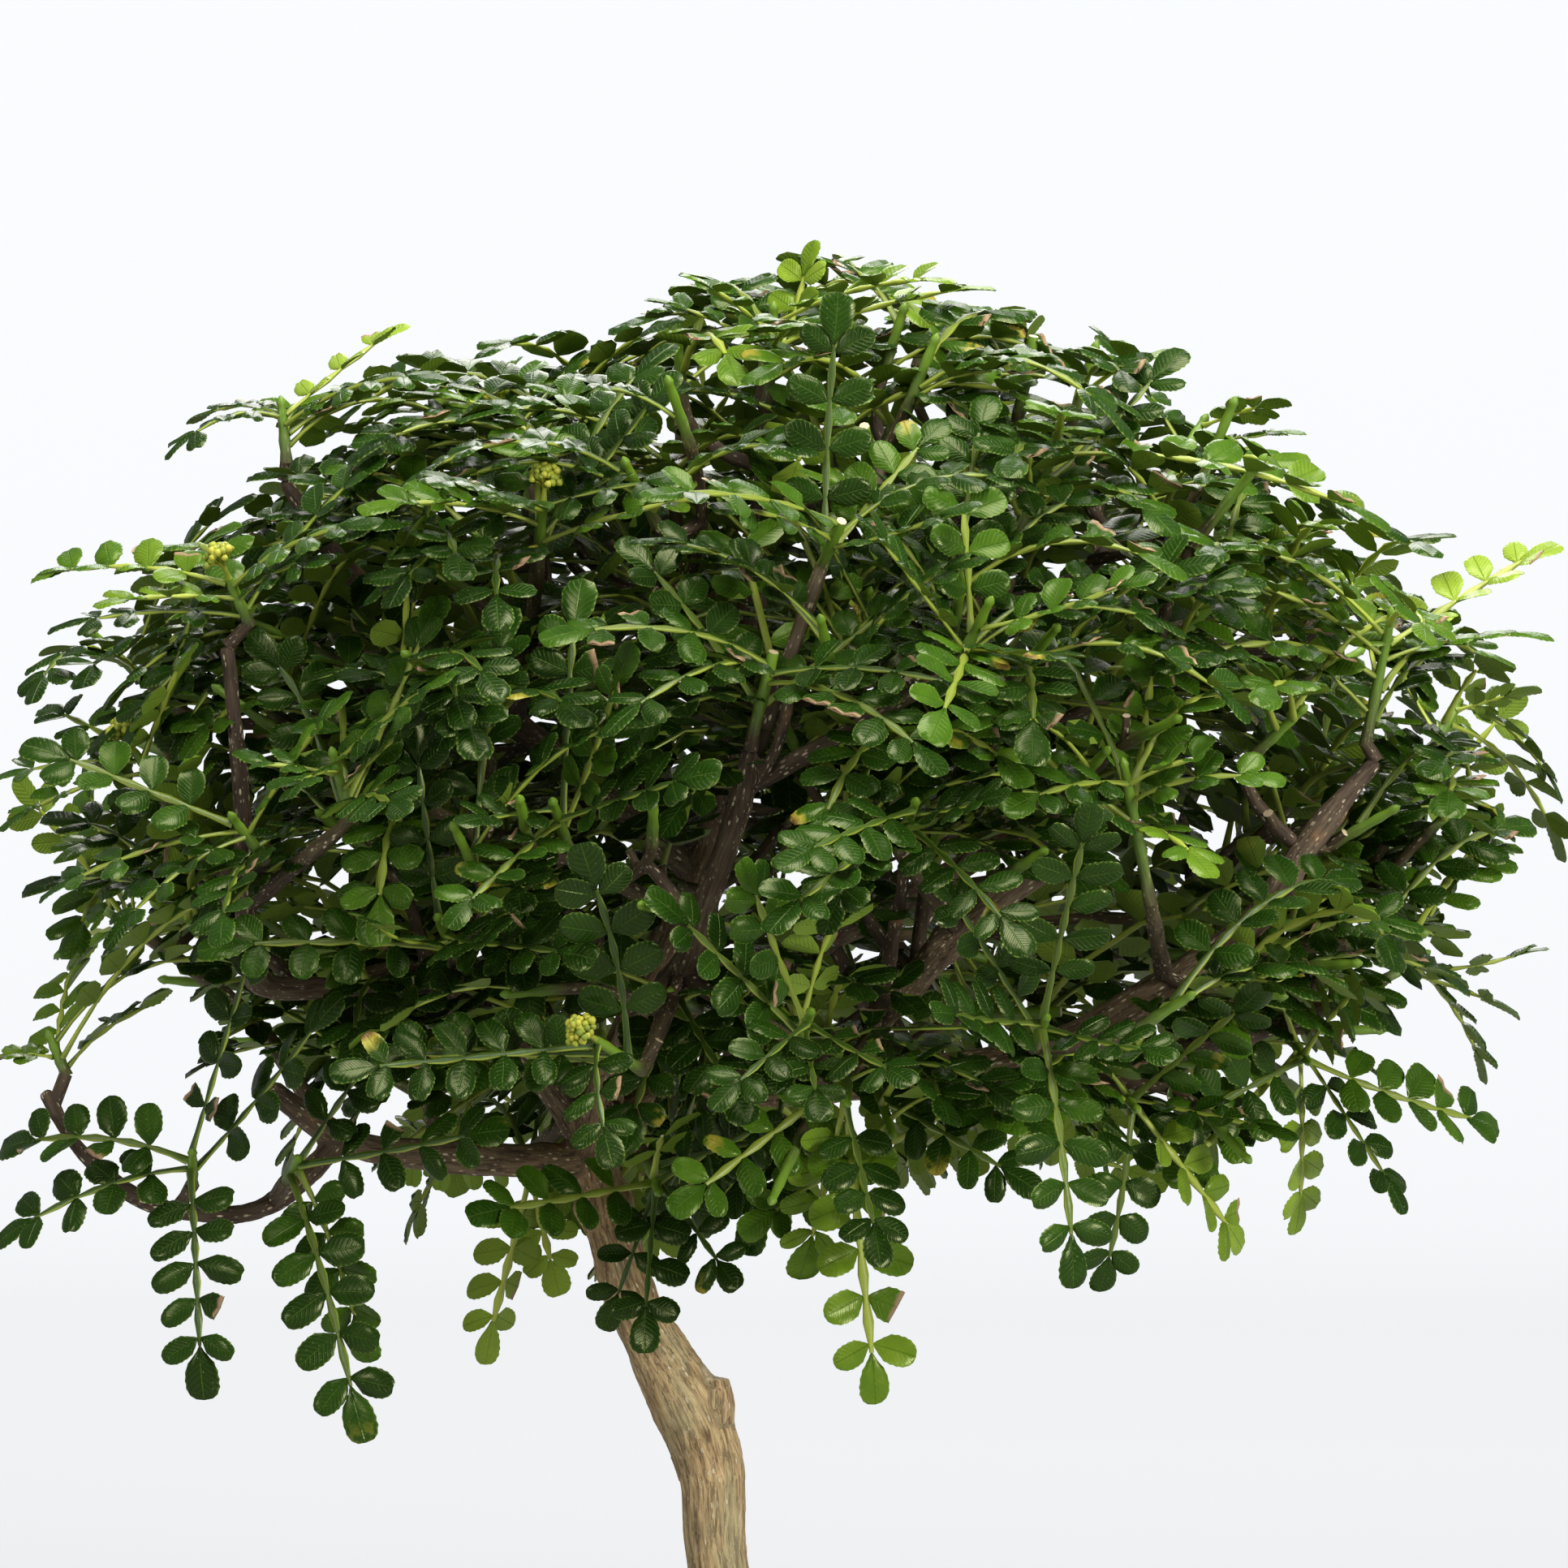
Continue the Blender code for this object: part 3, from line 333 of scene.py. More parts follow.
# how the tree is laid out, in millimetres: the sizes, tables and draws that the solid model grows from
plan = {
    "seed": 5, "trunkSides": 9, "limbSides": 5, "twigSides": 4, "twigStep": 30.0,
    "limbEndReach": 14.0, "twigRadius": 1.35, "twigRootRadius": 1.8, "buttGap": 0.35,
    "shootSides": 5, "shootRadius": 1.25, "shootTipRadius": 1.0,
    "bladeThickness": 0.7, "rachisHalfWidth": 0.5, "petioleShare": 0.2, "endLeafletShare": 0.2,
    "leafletPairs": 2, "leafletReach": 9.0, "leafletTipShare": 0.74, "rootSpacing": 1.3,
    "endLeafletHalfWidth": 2.9, "leafletDroop": 0.14, "leafLength": 46.0, "clearance": 0.45,
    "leafTries": 60, "keyLeafTries": 40, "leafPlaces": (0.2, 0.95), "keyLeafPlaces": (0.5, 0.95),
    "leafOpens": (0.9, 1.35), "leafSags": (0.05, 0.4), "leafLengths": (0.78, 1.06), "facingVaries": 0.22,
    "budsOnHead": 3, "budRadius": 1.9, "budSpread": 1.2, "budGap": 0.35, "viewDistance": 1500.0, "eyeHeight": 265.0,
}
limbRows = {  # (x, y, z, radius) along each limb, from its root
    "trunk": [
        (-11, 0, 28, 9.5), (-11, 0, 58, 9.5), (-11, 0, 63, 9.0), (-11, 0, 69, 8.0), (-11, 0, 78, 7.1),
        (-12, 0, 95, 6.4), (-13, 0, 124, 6.2), (-15, 0, 137, 6.8), (-18, 0, 146, 7.0), (-24, 0, 156, 5.8),
        (-28, 0, 164, 5.1), (-31, 0, 174, 4.9), (-35, 0, 187, 4.7), (-37, -2, 198, 4.6)],
    "stub": [(-18, 0, 142, 4.4), (-13, -1, 148.5, 4.0), (-11, -1, 151.5, 3.7)],
    "left": [
        (-37, -2, 196, 3.6), (-41, -3, 193, 3.6), (-69, -18, 195, 3.0), (-83, -25, 198, 2.7), (-96, -35, 208, 2.1)],
    "left_low": [
        (-83, -25, 198, 2.3), (-95, -38, 187, 2.0), (-105, -45, 185, 1.8), (-119, -48, 188, 1.6),
        (-130, -47, 197, 1.5), (-137, -45, 208, 1.4)],
    "left_mid": [
        (-37, -2, 196, 3.2), (-49, -12, 213, 3.0), (-69, -30, 228, 2.8), (-85, -42, 227, 2.4),
        (-98, -50, 230, 2.2), (-99, -58, 255, 1.9), (-102, -62, 290, 1.4)],
    "front": [
        (-37, -2, 196, 3.6), (-30, -30, 215, 3.4), (-19, -62, 230, 2.9), (-13, -78, 246, 2.5),
        (-8, -88, 261, 2.2), (-6, -93, 271, 1.6)],
    "right": [
        (-37, -2, 196, 4.0), (-21, -8, 206, 3.9), (5, -22, 208, 3.7), (36, -36, 212, 3.6),
        (55, -42, 218, 3.4), (86, -50, 239, 3.0), (98, -46, 255, 2.4), (110, -42, 269, 1.6)],
    "right_front": [(5, -22, 208, 3.2), (18, -50, 222, 3.1), (32, -68, 238, 3.1), (46, -76, 250, 3.0)],
    "right_low": [(36, -36, 212, 2.8), (56, -22, 211, 2.5), (75, -8, 214, 2.2), (95, 2, 219, 1.9), (112, 9, 225, 1.4)],
    "leader": [
        (-37, -2, 196, 4.0), (-27, 2, 224, 3.7), (-16, 0, 247, 3.3), (-9, -10, 272, 2.9),
        (-6, -20, 300, 2.5), (-3, -29, 333, 1.5)],
    "top_left": [(-16, 0, 247, 2.8), (-63, -10, 287, 2.3), (-83, -20, 306, 1.9), (-94, -24, 322, 1.4)],
    "top_right": [(-9, -10, 272, 2.7), (13, -24, 284, 2.4), (33, -36, 297, 2.0), (43, -43, 309, 1.4)],
    "back": [(-27, 2, 224, 3.2), (-21, 35, 241, 2.9), (-13, 62, 263, 2.6), (-10, 70, 287, 2.1), (-10, 62, 311, 1.4)],
    "back_right": [(-27, 2, 224, 3.2), (2, 30, 232, 2.9), (33, 58, 247, 2.6), (61, 72, 266, 2.1), (81, 75, 287, 1.4)],
    "back_left": [
        (-37, -2, 196, 3.2), (-47, 30, 219, 2.9), (-63, 56, 241, 2.6), (-80, 67, 263, 2.1), (-90, 66, 282, 1.4)],
}
cutStubRows = {
    "thin_stub": [(18, -50, 222, 1.9), (20, -72, 238, 1.4), (22, -84, 251, 1.2)],
    "short_stub": [(-8, -88, 261, 1.4), (-2, -93, 270, 1.2), (1, -95, 280, 1.1)],
}
branchRows = [rows for name, rows in limbRows.items() if name not in ("trunk", "stub")]
sprayRows = [  # name, foot and tip of the shoot, further leaves, tone, buds, then tips of leading leaves
    ("front_top", (-6, -94, 274), (-2, -100, 290), 2, 1, 0, (-49, -120, 292), (41, -118, 281), (-37, -125, 273),
     (32, -125, 265)),
    ("right_tip", (111, -42, 272), (116, -46, 297), 2, 2, 0, (149, -30, 312), (74, -62, 306), (149, -40, 293),
     (67, -70, 285)),
    ("crown_top", (-3, -30, 337), (-2, -32, 355), 2, 2, 0, (42, -35, 360), (-28, -30, 358), (34, -55, 361),
     (5, -25, 371), (-20, -50, 363)),
    ("top_left", (-95, -25, 326), (-96, -25, 337), 2, 1, 0, (-71, -15, 354), (-63, -45, 342), (-120, -35, 325),
     (-115, -10, 333)),
    ("left_high", (-102, -62, 295), (-106, -66, 304), 3, 1, 1, (-133, -80, 299), (-145, -50, 304), (-85, -85, 308)),
    ("left_front", (-83, -88, 258), (-86, -92, 270), 4, 1, 0, (-67, -105, 280), (-96, -112, 261)),
    ("left_edge", (-118, -38, 262), (-124, -42, 271), 2, 1, 1, (-154, -40, 265), (-152, -55, 255), (-142, -20, 280)),
    ("left_low", (-99, -72, 250), (-105, -78, 258), 3, 0, 0, (-144, -80, 242), (-131, -90, 232)),
    ("far_left", (-137, -45, 209), (-140, -45, 216), 2, 2, 0, (-155, -40, 211)),
    ("left_drop", (-113, -55, 188), (-113, -66, 194), 2, 0, 0, (-111, -78, 144), (-153, -60, 176), (-152, -45, 194)),
    ("left_drop_inner", (-95, -50, 189), (-93, -62, 193), 2, 0, 0, (-80, -82, 137), (-79, -60, 151)),
    ("drop_back", (-49, 24, 194), (-48, 38, 190), 2, 2, 0, (-58, 45, 153), (-43, 52, 167)),
    ("front_left", (-27, -95, 210), (-36, -108, 216), 3, 0, 1, (-88, -118, 210), (-32, -128, 190)),
    ("low_centre", (-26, -34, 193), (-24, -50, 187), 2, 0, 0, (-27, -62, 155), (-9, -64, 168), (-35, -50, 159)),
    ("front_centre", (3, -98, 215), (5, -113, 221), 2, 0, 0, (7, -132, 200), (25, -135, 208), (-15, -130, 202)),
    ("low_right_centre", (12, -72, 209), (12, -86, 204), 1, 1, 0, (19, -104, 172), (18, -86, 145), (2, -70, 163)),
    ("front_right", (48, -84, 215), (50, -100, 220), 2, 0, 0, (56, -112, 166), (75, -122, 213), (29, -130, 222)),
    ("low_right", (64, -33, 207), (67, -46, 203), 2, 1, 0, (60, -40, 166), (89, -30, 175)),
    ("right_low_front", (97, -6, 216), (100, -20, 212), 2, 1, 0, (120, -25, 182), (98, -10, 177), (139, 0, 199)),
    ("right_low_edge", (114, 10, 227), (122, 14, 232), 2, 1, 0, (147, 15, 235), (143, 5, 222), (135, 30, 208)),
    ("right_front", (70, -86, 242), (65, -98, 268), 3, 2, 0, (98, -104, 265), (41, -122, 259), (83, -120, 246)),
    ("right_edge", (123, 20, 270), (129, 25, 281), 2, 1, 0, (150, 30, 259), (146, 20, 284), (150, 45, 248)),
    ("top_right", (44, -45, 312), (52, -48, 329), 3, 1, 0, (118, -60, 313), (77, -30, 350), (25, -65, 328)),
    ("top_right_edge", (73, 10, 323), (80, 15, 334), 3, 1, 0, (101, 20, 333), (98, 5, 339)),
    ("top_mid_right", (35, 30, 331), (39, 35, 345), 3, 1, 0, (49, 35, 356), (60, 40, 348)),
    ("top_mid_left", (-49, 0, 323), (-53, 0, 335), 3, 1, 1, (-36, 15, 349), (-69, 10, 342)),
    ("upper_left", (-47, -72, 308), (-46, -78, 319), 3, 0, 1, (-83, -95, 317), (-18, -92, 323)),
    ("upper_front", (7, -88, 306), (11, -96, 315), 3, 1, 0, (-15, -115, 318), (38, -110, 320)),
    ("front_mid_right", (33, -98, 287), (39, -106, 299), 4, 1, 0, (72, -115, 306)),
    ("front_mid", (22, -98, 252), (25, -112, 261), 3, 0, 0, (49, -125, 261)),
    ("front_mid_left", (-41, -90, 252), (-44, -104, 261), 3, 0, 0, (-63, -120, 258)),
    ("front_low_left", (-63, -80, 232), (-66, -94, 239), 3, 0, 0, (-80, -115, 241), (-57, -125, 236)),
    ("back_top", (-10, 62, 315), (-13, 70, 328), 4, 1, 0),
    ("back_top_right", (36, 76, 306), (42, 86, 318), 4, 0, 0),
    ("back_top_left", (-57, 62, 303), (-63, 72, 315), 4, 1, 0),
    ("back_right_high", (83, 77, 291), (91, 86, 301), 4, 1, 0),
    ("back_left_high", (-92, 67, 286), (-100, 77, 295), 4, 0, 0),
    ("back_mid", (-2, 92, 267), (-1, 106, 277), 4, 0, 0),
    ("back_mid_right", (52, 92, 259), (58, 105, 267), 4, 1, 0),
    ("back_mid_left", (-51, 92, 259), (-57, 105, 267), 4, 0, 0),
    ("back_right_low", (83, 58, 236), (92, 73, 239), 5, 0, 0),
    ("back_left_low", (-95, 55, 232), (-105, 69, 235), 5, 1, 0),
    ("back_low", (-18, 72, 224), (-18, 90, 225), 4, 0, 0),
    ("back_low_right", (33, 62, 219), (38, 80, 221), 4, 0, 0),
    ("back_low_left", (-63, 50, 215), (-69, 68, 215), 4, 0, 0),
    ("left_side", (-122, 8, 236), (-132, 12, 242), 5, 1, 0),
    ("right_side", (113, 40, 250), (123, 48, 256), 4, 0, 0),
    ("left_back_high", (-85, 22, 292), (-91, 28, 303), 4, 1, 0),
    ("top_back", (-21, 34, 316), (-20, 38, 330), 4, 1, 0),
    ("low_back", (34, 26, 206), (37, 34, 201), 4, 0, 0),
]
crown = {
    "outline": [  # (x, z) in the front view
        (-150, 270), (-145, 306), (-120, 328), (-95, 342), (-72, 349), (-41, 346), (-27, 357), (4, 370), (42, 361),
        (77, 351), (101, 339), (118, 314), (139, 309), (150, 290), (150, 235), (139, 208), (114, 191), (67, 182),
        (29, 191), (-1, 173), (-35, 166), (-57, 185), (-75, 173), (-114, 176), (-147, 182), (-140, 221), (-150, 244)],
    "centre": Vector((0, 0, 262)), "halfWidth": 156.0, "halfDepth": 140.0, "halfHeight": 112.0,
}


def jitter(rng, reach):
    return Vector([rng.uniform(-reach, reach) for _ in range(3)])


def wayOf(shoot):
    return (shoot["tip"] - shoot["foot"]).normalized()


def bend(start, lead, end, share):
    rest = 1 - share
    return start * rest * rest + lead * 2 * rest * share + end * share * share


def leafAxes(leaf, share):  # the place on a leaf's curve, its way, and the axes across it and up from it
    start, lead, tip = leaf["start"], leaf["lead"], leaf["tip"]
    way = ((lead - start) * (1 - share) + (tip - lead) * share).normalized()
    across = way.cross(leaf["facing"]).normalized()
    return bend(start, lead, tip, share), way, across, across.cross(way)


def halfOutline(leaf):  # share along the leaf, reach sideways, drop
    pairs, half = plan["leafletPairs"], plan["rachisHalfWidth"]
    step = (1 - plan["petioleShare"] - plan["endLeafletShare"]) / pairs
    side = [(0.0, half, 0.0)]
    for k in range(pairs):
        near = plan["petioleShare"] + step * k
        size = leaf["reach"] * (0.86 + 0.14 * sin(pi * (k + 1) / (pairs + 1)))
        side += [(near, half, 0.0), (near + plan["leafletTipShare"] * step, size, -plan["leafletDroop"] * size)]
    return side + [(1 - plan["endLeafletShare"], half, 0.0), (1.0, plan["endLeafletHalfWidth"], 0.0)]


# the plain closed blade that the solid model gives a leaf, used here to keep leaves apart
def bladeBody(leaf, swell=0.0, first=0):
    side = halfOutline(leaf)[first:]
    roots = [i for i, row in enumerate(side) if row[1] == plan["rachisHalfWidth"]]
    outline = [(share, reach + swell, drop) for share, reach, drop in side]
    outline += [(share, -reach, drop) for share, reach, drop in reversed(outline)]
    half = plan["bladeThickness"] / 2 + swell
    above, below = [], []
    for share, reach, drop in outline:
        at, _, across, rise = leafAxes(leaf, share)
        middle = at + across * reach + rise * drop
        above.append(middle + rise * half)
        below.append(middle - rise * half)
    last, count = roots[-1], len(outline)
    mirror = count - 1
    top = [(last, last + 1, mirror - last - 1), (last, mirror - last - 1, mirror - last)]
    for a, b in zip(roots, roots[1:]):
        top += [(a, b, mirror - b), (a, mirror - b, mirror - a)]
        for k in range(a + 1, b):
            top += [(a, k, b), (mirror - b, mirror - k, mirror - a)]
    faces = top + [tuple(v + count for v in reversed(face)) for face in top]
    for a in range(count):
        b = (a + 1) % count
        faces += [(a + count, b + count, b), (a + count, b, a)]
    return above + below, faces


def seen(x, y, z):  # from where a point shows in the front view to where it is, and back
    share = 1 + y / plan["viewDistance"]
    return Vector((x * share, y, plan["eyeHeight"] + (z - plan["eyeHeight"]) * share))


def picturePlace(point):
    share = 1 + point.y / plan["viewDistance"]
    return point.x / share, plan["eyeHeight"] + (point.z - plan["eyeHeight"]) / share


def crownParts(point):
    level = (point.x / crown["halfWidth"]) ** 2 + (point.y / crown["halfDepth"]) ** 2
    return level, ((point.z - crown["centre"].z) / crown["halfHeight"]) ** 2


def crownDepth(point):  # 0 in the middle of the crown, 1 at its skin
    return math.sqrt(sum(crownParts(point)))


def inCrown(point):
    (x, z), inside, outline = picturePlace(point), False, crown["outline"]
    for (ax, az), (bx, bz) in zip(outline, outline[1:] + outline[:1]):
        if (az > z) != (bz > z) and x < ax + (z - az) * (bx - ax) / (bz - az):
            inside = not inside
    level, height = crownParts(point)
    return inside and level + height * 0.8 < 1.1


def taperedTwig(at, lead, end, root, tip, steps):
    return [(*bend(at, lead, end, k / steps), root + (tip - root) * (k / steps)) for k in range(steps + 1)]


def twigRows(foot, heading):  # from the best-placed point of a limb to just under the shoot's foot
    best = None
    for rows in branchRows:
        for a, b in zip(rows, rows[1:]):
            for part in (0.0, 0.25, 0.5, 0.75, 1.0):
                at = Vector(a[:3]).lerp(Vector(b[:3]), part)
                way = foot - at
                if b is rows[-1] and part > 0.4 and way.length > plan["limbEndReach"]:
                    continue
                cost = way.length * (1.7 - way.normalized().dot(heading)) if way.length > 2 else 0
                if best is None or cost < best[0]:
                    best = (cost, at, a[3] + (b[3] - a[3]) * part)
    _, at, radius = best
    end = foot - heading * plan["buttGap"]
    length = (end - at).length
    lead, steps = end - heading * length * 0.5, max(1, round(length / plan["twigStep"]))
    return taperedTwig(at, lead, end, min(radius * 0.85, plan["twigRootRadius"]), plan["twigRadius"], steps)


def shootSkin(spray):
    return tubeSkin([spray["foot"], spray["tip"]], [plan["shootRadius"], plan["shootTipRadius"]], plan["shootSides"])


def facetFrame(spray, facet, place):
    ring, sides = shootSkin(spray)[0], plan["shootSides"]
    after = (facet + 1) % sides
    low, high = (ring[facet] + ring[after]) / 2, (ring[facet + sides] + ring[after + sides]) / 2
    lateral = (ring[after] - ring[facet]).normalized()
    return low.lerp(high, place), lateral.cross((high - low).normalized())


def budHeadSkins(spray):
    heading, (_, across, rise) = wayOf(spray), framesAlong([spray["foot"], spray["tip"]])[0]
    start = spray["tip"] + heading * plan["budGap"]
    skins = [tubeSkin([start, start + heading * 4.0], [0.8, 0.7], 3)]
    corners = [Vector(p) for p in ((1, 0, 0), (0, 1, 0), (-1, 0, 0), (0, -1, 0), (0, 0, 1), (0, 0, -1))]
    faces = [face for i in range(4) for face in ((i, (i + 1) % 4, 4), ((i + 1) % 4, i, 5))]
    for k in range(plan["budsOnHead"]):
        out = turned(across, rise, golden * k) * (plan["budSpread"] if k else 0.0)
        centre = start + heading * (4.6 - 0.7 * k) + out
        skins.append(([centre + p * plan["budRadius"] for p in corners], faces))
    return skins


def leafTowards(spray, tip, place, rng, spread=0.0):
    heading = wayOf(spray)
    end = tip + jitter(rng, 1) * spread
    way = end - spray["foot"].lerp(spray["tip"], place)
    outward = (way - heading * way.dot(heading)).normalized()
    facet = max(range(plan["shootSides"]), key=lambda k: facetFrame(spray, k, place)[1].dot(outward))
    start = facetFrame(spray, facet, place)[0]
    way = end - start
    first, drop = (outward + heading * 0.75).normalized(), way.normalized()
    facing = Vector((0, 0, 0.85)) + heading * 0.45 + (end - crown["centre"]).normalized() * 0.75
    facing += jitter(rng, plan["facingVaries"])
    facing -= drop * facing.dot(drop)
    return {
        "start": start, "lead": start + (first * 0.72 + drop * 0.28) * way.length * 0.5, "tip": end,
        "facing": facing.normalized(), "facet": facet, "place": place,
        "reach": plan["leafletReach"] * min(1.0, 0.35 + 0.65 * way.length / plan["leafLength"])}


def freeLeaf(spray, low, high):
    rng = spray["rng"]
    spray["turn"] += golden
    place = rng.uniform(low, high)
    heading, across, rise = framesAlong([spray["foot"], spray["tip"]])[0]
    way = turned(heading, turned(across, rise, spray["turn"]), rng.uniform(*plan["leafOpens"]))
    way += Vector((0, 0, -rng.uniform(*plan["leafSags"])))
    way = (way + (spray["foot"] - crown["centre"]).normalized() * 0.25).normalized()
    length = plan["leafLength"] * rng.uniform(*plan["leafLengths"])
    return leafTowards(spray, spray["foot"].lerp(spray["tip"], place) + way * length, place, rng)


class Room:  # what is already placed, so that each new leaf keeps clear of it
    def __init__(self, fixed, shoots, bladeShare=1.0):
        self.fixed = [BVHTree.FromPolygons(*shape) for shape in fixed]
        self.shoots = [(shoot, BVHTree.FromPolygons(*shootSkin(shoot))) for shoot in shoots]
        self.placed, self.bladeShare = [], bladeShare

    def bodies(self, leaf, swell=0.0):  # the whole blade, and all but its foot
        slim = {**leaf, "reach": leaf["reach"] * self.bladeShare}
        return [BVHTree.FromPolygons(*bladeBody(slim, swell, first)) for first in (0, 1)]

    def isFree(self, leaf, shoot):
        length = (shoot["tip"] - shoot["foot"]).length
        for other in shoot["leaves"]:
            if abs(other["place"] - leaf["place"]) * length < plan["rootSpacing"] and other["facet"] == leaf["facet"]:
                return False
        if not plan["rootSpacing"] / 2 < leaf["place"] * length < length - plan["rootSpacing"] / 2:
            return False
        wide, upper = self.bodies(leaf, plan["clearance"])
        if any(wide.overlap(tree) for tree in self.fixed):
            return False
        middle = (leaf["start"] + leaf["tip"]) / 2
        for place, owner, whole, part in self.placed:
            if (place - middle).length <= 75 and (upper.overlap(part) if owner is shoot else wide.overlap(whole)):
                return False
        return not any((upper if owner is shoot else wide).overlap(skin) for owner, skin in self.shoots)

    def add(self, leaf, shoot):
        self.placed.append(((leaf["start"] + leaf["tip"]) / 2, shoot, *self.bodies(leaf)))


def plannedSprays():
    made = []
    for index, (name, foot, tip, more, tone, buds, *keys) in enumerate(sprayRows):
        rng, foot, tip = random.Random(plan["seed"] * 1000 + index), seen(*foot), seen(*tip)
        heading = (tip - foot).normalized()
        made.append({
            "name": name, "foot": foot, "tip": tip, "heading": heading, "keys": [seen(*key) for key in keys],
            "more": more, "tone": tone, "buds": buds, "leaves": [], "rng": rng, "turn": rng.uniform(0, tau),
            "twig": twigRows(foot, heading)})
    return made


def growLeaves():
    fixed = [limbSkin(rows, plan["trunkSides" if name == "trunk" else "limbSides"]) for name, rows in limbRows.items()]
    fixed += [limbSkin(rows, plan["twigSides"]) for rows in cutStubRows.values()]
    fixed += [limbSkin(spray["twig"], plan["twigSides"], spray["heading"]) for spray in sprays]
    room = Room(fixed + [skin for spray in sprays if spray["buds"] for skin in budHeadSkins(spray)], sprays)
    for spray in sprays:
        for key in spray["keys"]:
            for attempt in range(plan["keyLeafTries"]):
                place = spray["rng"].uniform(*plan["keyLeafPlaces"])
                leaf = leafTowards(spray, key, place, spray["rng"], attempt * 0.35)
                if room.isFree(leaf, spray):
                    leaf["key"] = True
                    room.add(leaf, spray)
                    spray["leaves"].append(leaf)
                    break
    for layer in range(max(spray["more"] for spray in sprays)):
        for spray in sprays:
            for _ in range(plan["leafTries"] if layer < spray["more"] else 0):
                leaf = freeLeaf(spray, *plan["leafPlaces"])
                if inCrown(leaf["tip"]) and room.isFree(leaf, spray):
                    room.add(leaf, spray)
                    spray["leaves"].append(leaf)
                    break


sprays = plannedSprays()
growLeaves()
print("bonsai: laid out", sum(len(spray["leaves"]) for spray in sprays), "leaves of the solid model")


# more leaves than the solid model holds: further ones on its shoots, and further shoots
filling = {
    "seed": 71, "leavesAdded": 4, "shoots": 215, "shootSpacing": 13.0, "shootTries": 16000, "leavesOnShoot": 6,
    "within": ((-150, 150), (-135, 135), (172, 362)), "shootLength": (12, 18), "innerFrom": 0.12, "outerTo": 0.80,
    "longestTwig": 62.0, "twigRadii": (1.5, 1.1), "bladeShare": 0.38, "leafTries": 12, "hangBelow": 205.0,
    "tipsWithin": 0.90, "lumps": 0.11, "lumpPitch": 0.045, "openTop": 0.07, "openFrom": 285, "openOver": 50,
    "rising": 0.55, "hanging": -0.25, "headingVaries": 0.35, "leafPlaces": (0.15, 0.97),
    "arch": 0.30, "steepness": 0.6, "droop": 0.12, "level": 1.9, "windowReach": 8.0,
}
# the limbs that show through the foliage in front: (x, z) to (x, z) in the front view, and how far back they are
windows = [
    ((66, 227), (113, 276), -42), ((-14, 231), (0, 283), -88), ((-101, 296), (-98, 258), -62),
    ((-105, 208), (-80, 190), -40), ((-80, 190), (-52, 194), -20), ((-42, 192), (-36, 170), -5),
    ((47, 220), (32, 240), -70),
]


def skeletonPoints(step=3.0):
    points = []
    for rows in branchRows + [spray["twig"] for spray in sprays]:
        for a, b in zip(rows, rows[1:]):
            start, end = Vector(a[:3]), Vector(b[:3])
            count = max(1, int((end - start).length / step))
            points += [(start.lerp(end, k / count), a[3] + (b[3] - a[3]) * k / count) for k in range(count)]
    return points


def nearestWood(foot, heading, bones):
    best = None
    for at, radius in bones:
        way = foot - at
        length = way.length
        if not 6 <= length <= filling["longestTwig"]:
            continue
        cost = length * (1.75 - way.dot(heading) / length)
        if best is None or cost < best[0]:
            best = (cost, at, radius)
    return best


def hidesLimb(start, tip):
    for share in (0.0, 0.35, 0.7, 1.0):
        spot = start.lerp(tip, share)
        x, z = picturePlace(spot)
        for (ax, az), (bx, bz), depth in windows:
            if spot.y > depth - 2:
                continue
            length = (bx - ax) ** 2 + (bz - az) ** 2
            along = max(0.0, min(1.0, ((x - ax) * (bx - ax) + (z - az) * (bz - az)) / length))
            if math.hypot(x - ax - along * (bx - ax), z - az - along * (bz - az)) < filling["windowReach"]:
                return True
    return False


def fillingShoots():
    rng, bones, made = random.Random(filling["seed"]), skeletonPoints(), []
    feet = [spray["foot"] for spray in sprays]
    for _ in range(filling["shootTries"]):
        if len(made) >= filling["shoots"]:
            break
        foot = Vector([rng.uniform(*span) for span in filling["within"]])
        outer = (foot - crown["centre"]).normalized()
        heading = outer + up * filling["rising" if foot.z > filling["hangBelow"] else "hanging"]
        heading = (heading + jitter(rng, filling["headingVaries"])).normalized()
        tip = foot + heading * rng.uniform(*filling["shootLength"])
        if not inCrown(foot) or not inCrown(tip + heading * 8):
            continue
        if not filling["innerFrom"] < crownDepth(foot) < filling["outerTo"] or hidesLimb(foot, tip):
            continue
        if min((foot - other).length for other in feet) < filling["shootSpacing"]:
            continue
        root = nearestWood(foot, heading, bones)
        if root is None:
            continue
        thickest, thinnest = filling["twigRadii"]
        end = foot - heading * 0.2
        lead = end - heading * (end - root[1]).length * 0.45
        twig = taperedTwig(root[1], lead, end, min(root[2] * 0.8, thickest), thinnest, 5)
        owner = min(sprays, key=lambda spray: (spray["foot"] - foot).length)
        feet.append(foot)
        made.append({
            "name": f"filling{len(made)}", "foot": foot, "tip": tip, "heading": heading, "twig": twig,
            "leaves": [], "rng": random.Random(filling["seed"] * 1000 + len(made)), "owner": owner,
            "tone": owner["tone"], "turn": rng.uniform(0, tau), "buds": 0})
        bones += [(Vector(row[:3]), row[3]) for row in twig[2:]]
    return made


def outlineAt(tip):  # how far out an added leaf may reach: less near the top, and not the same all round
    top = min(1.0, max(0.0, (tip.z - filling["openFrom"]) / filling["openOver"]))
    lump = filling["lumps"] * noise.noise(tip * filling["lumpPitch"])
    return filling["tipsWithin"] - filling["openTop"] * top + lump


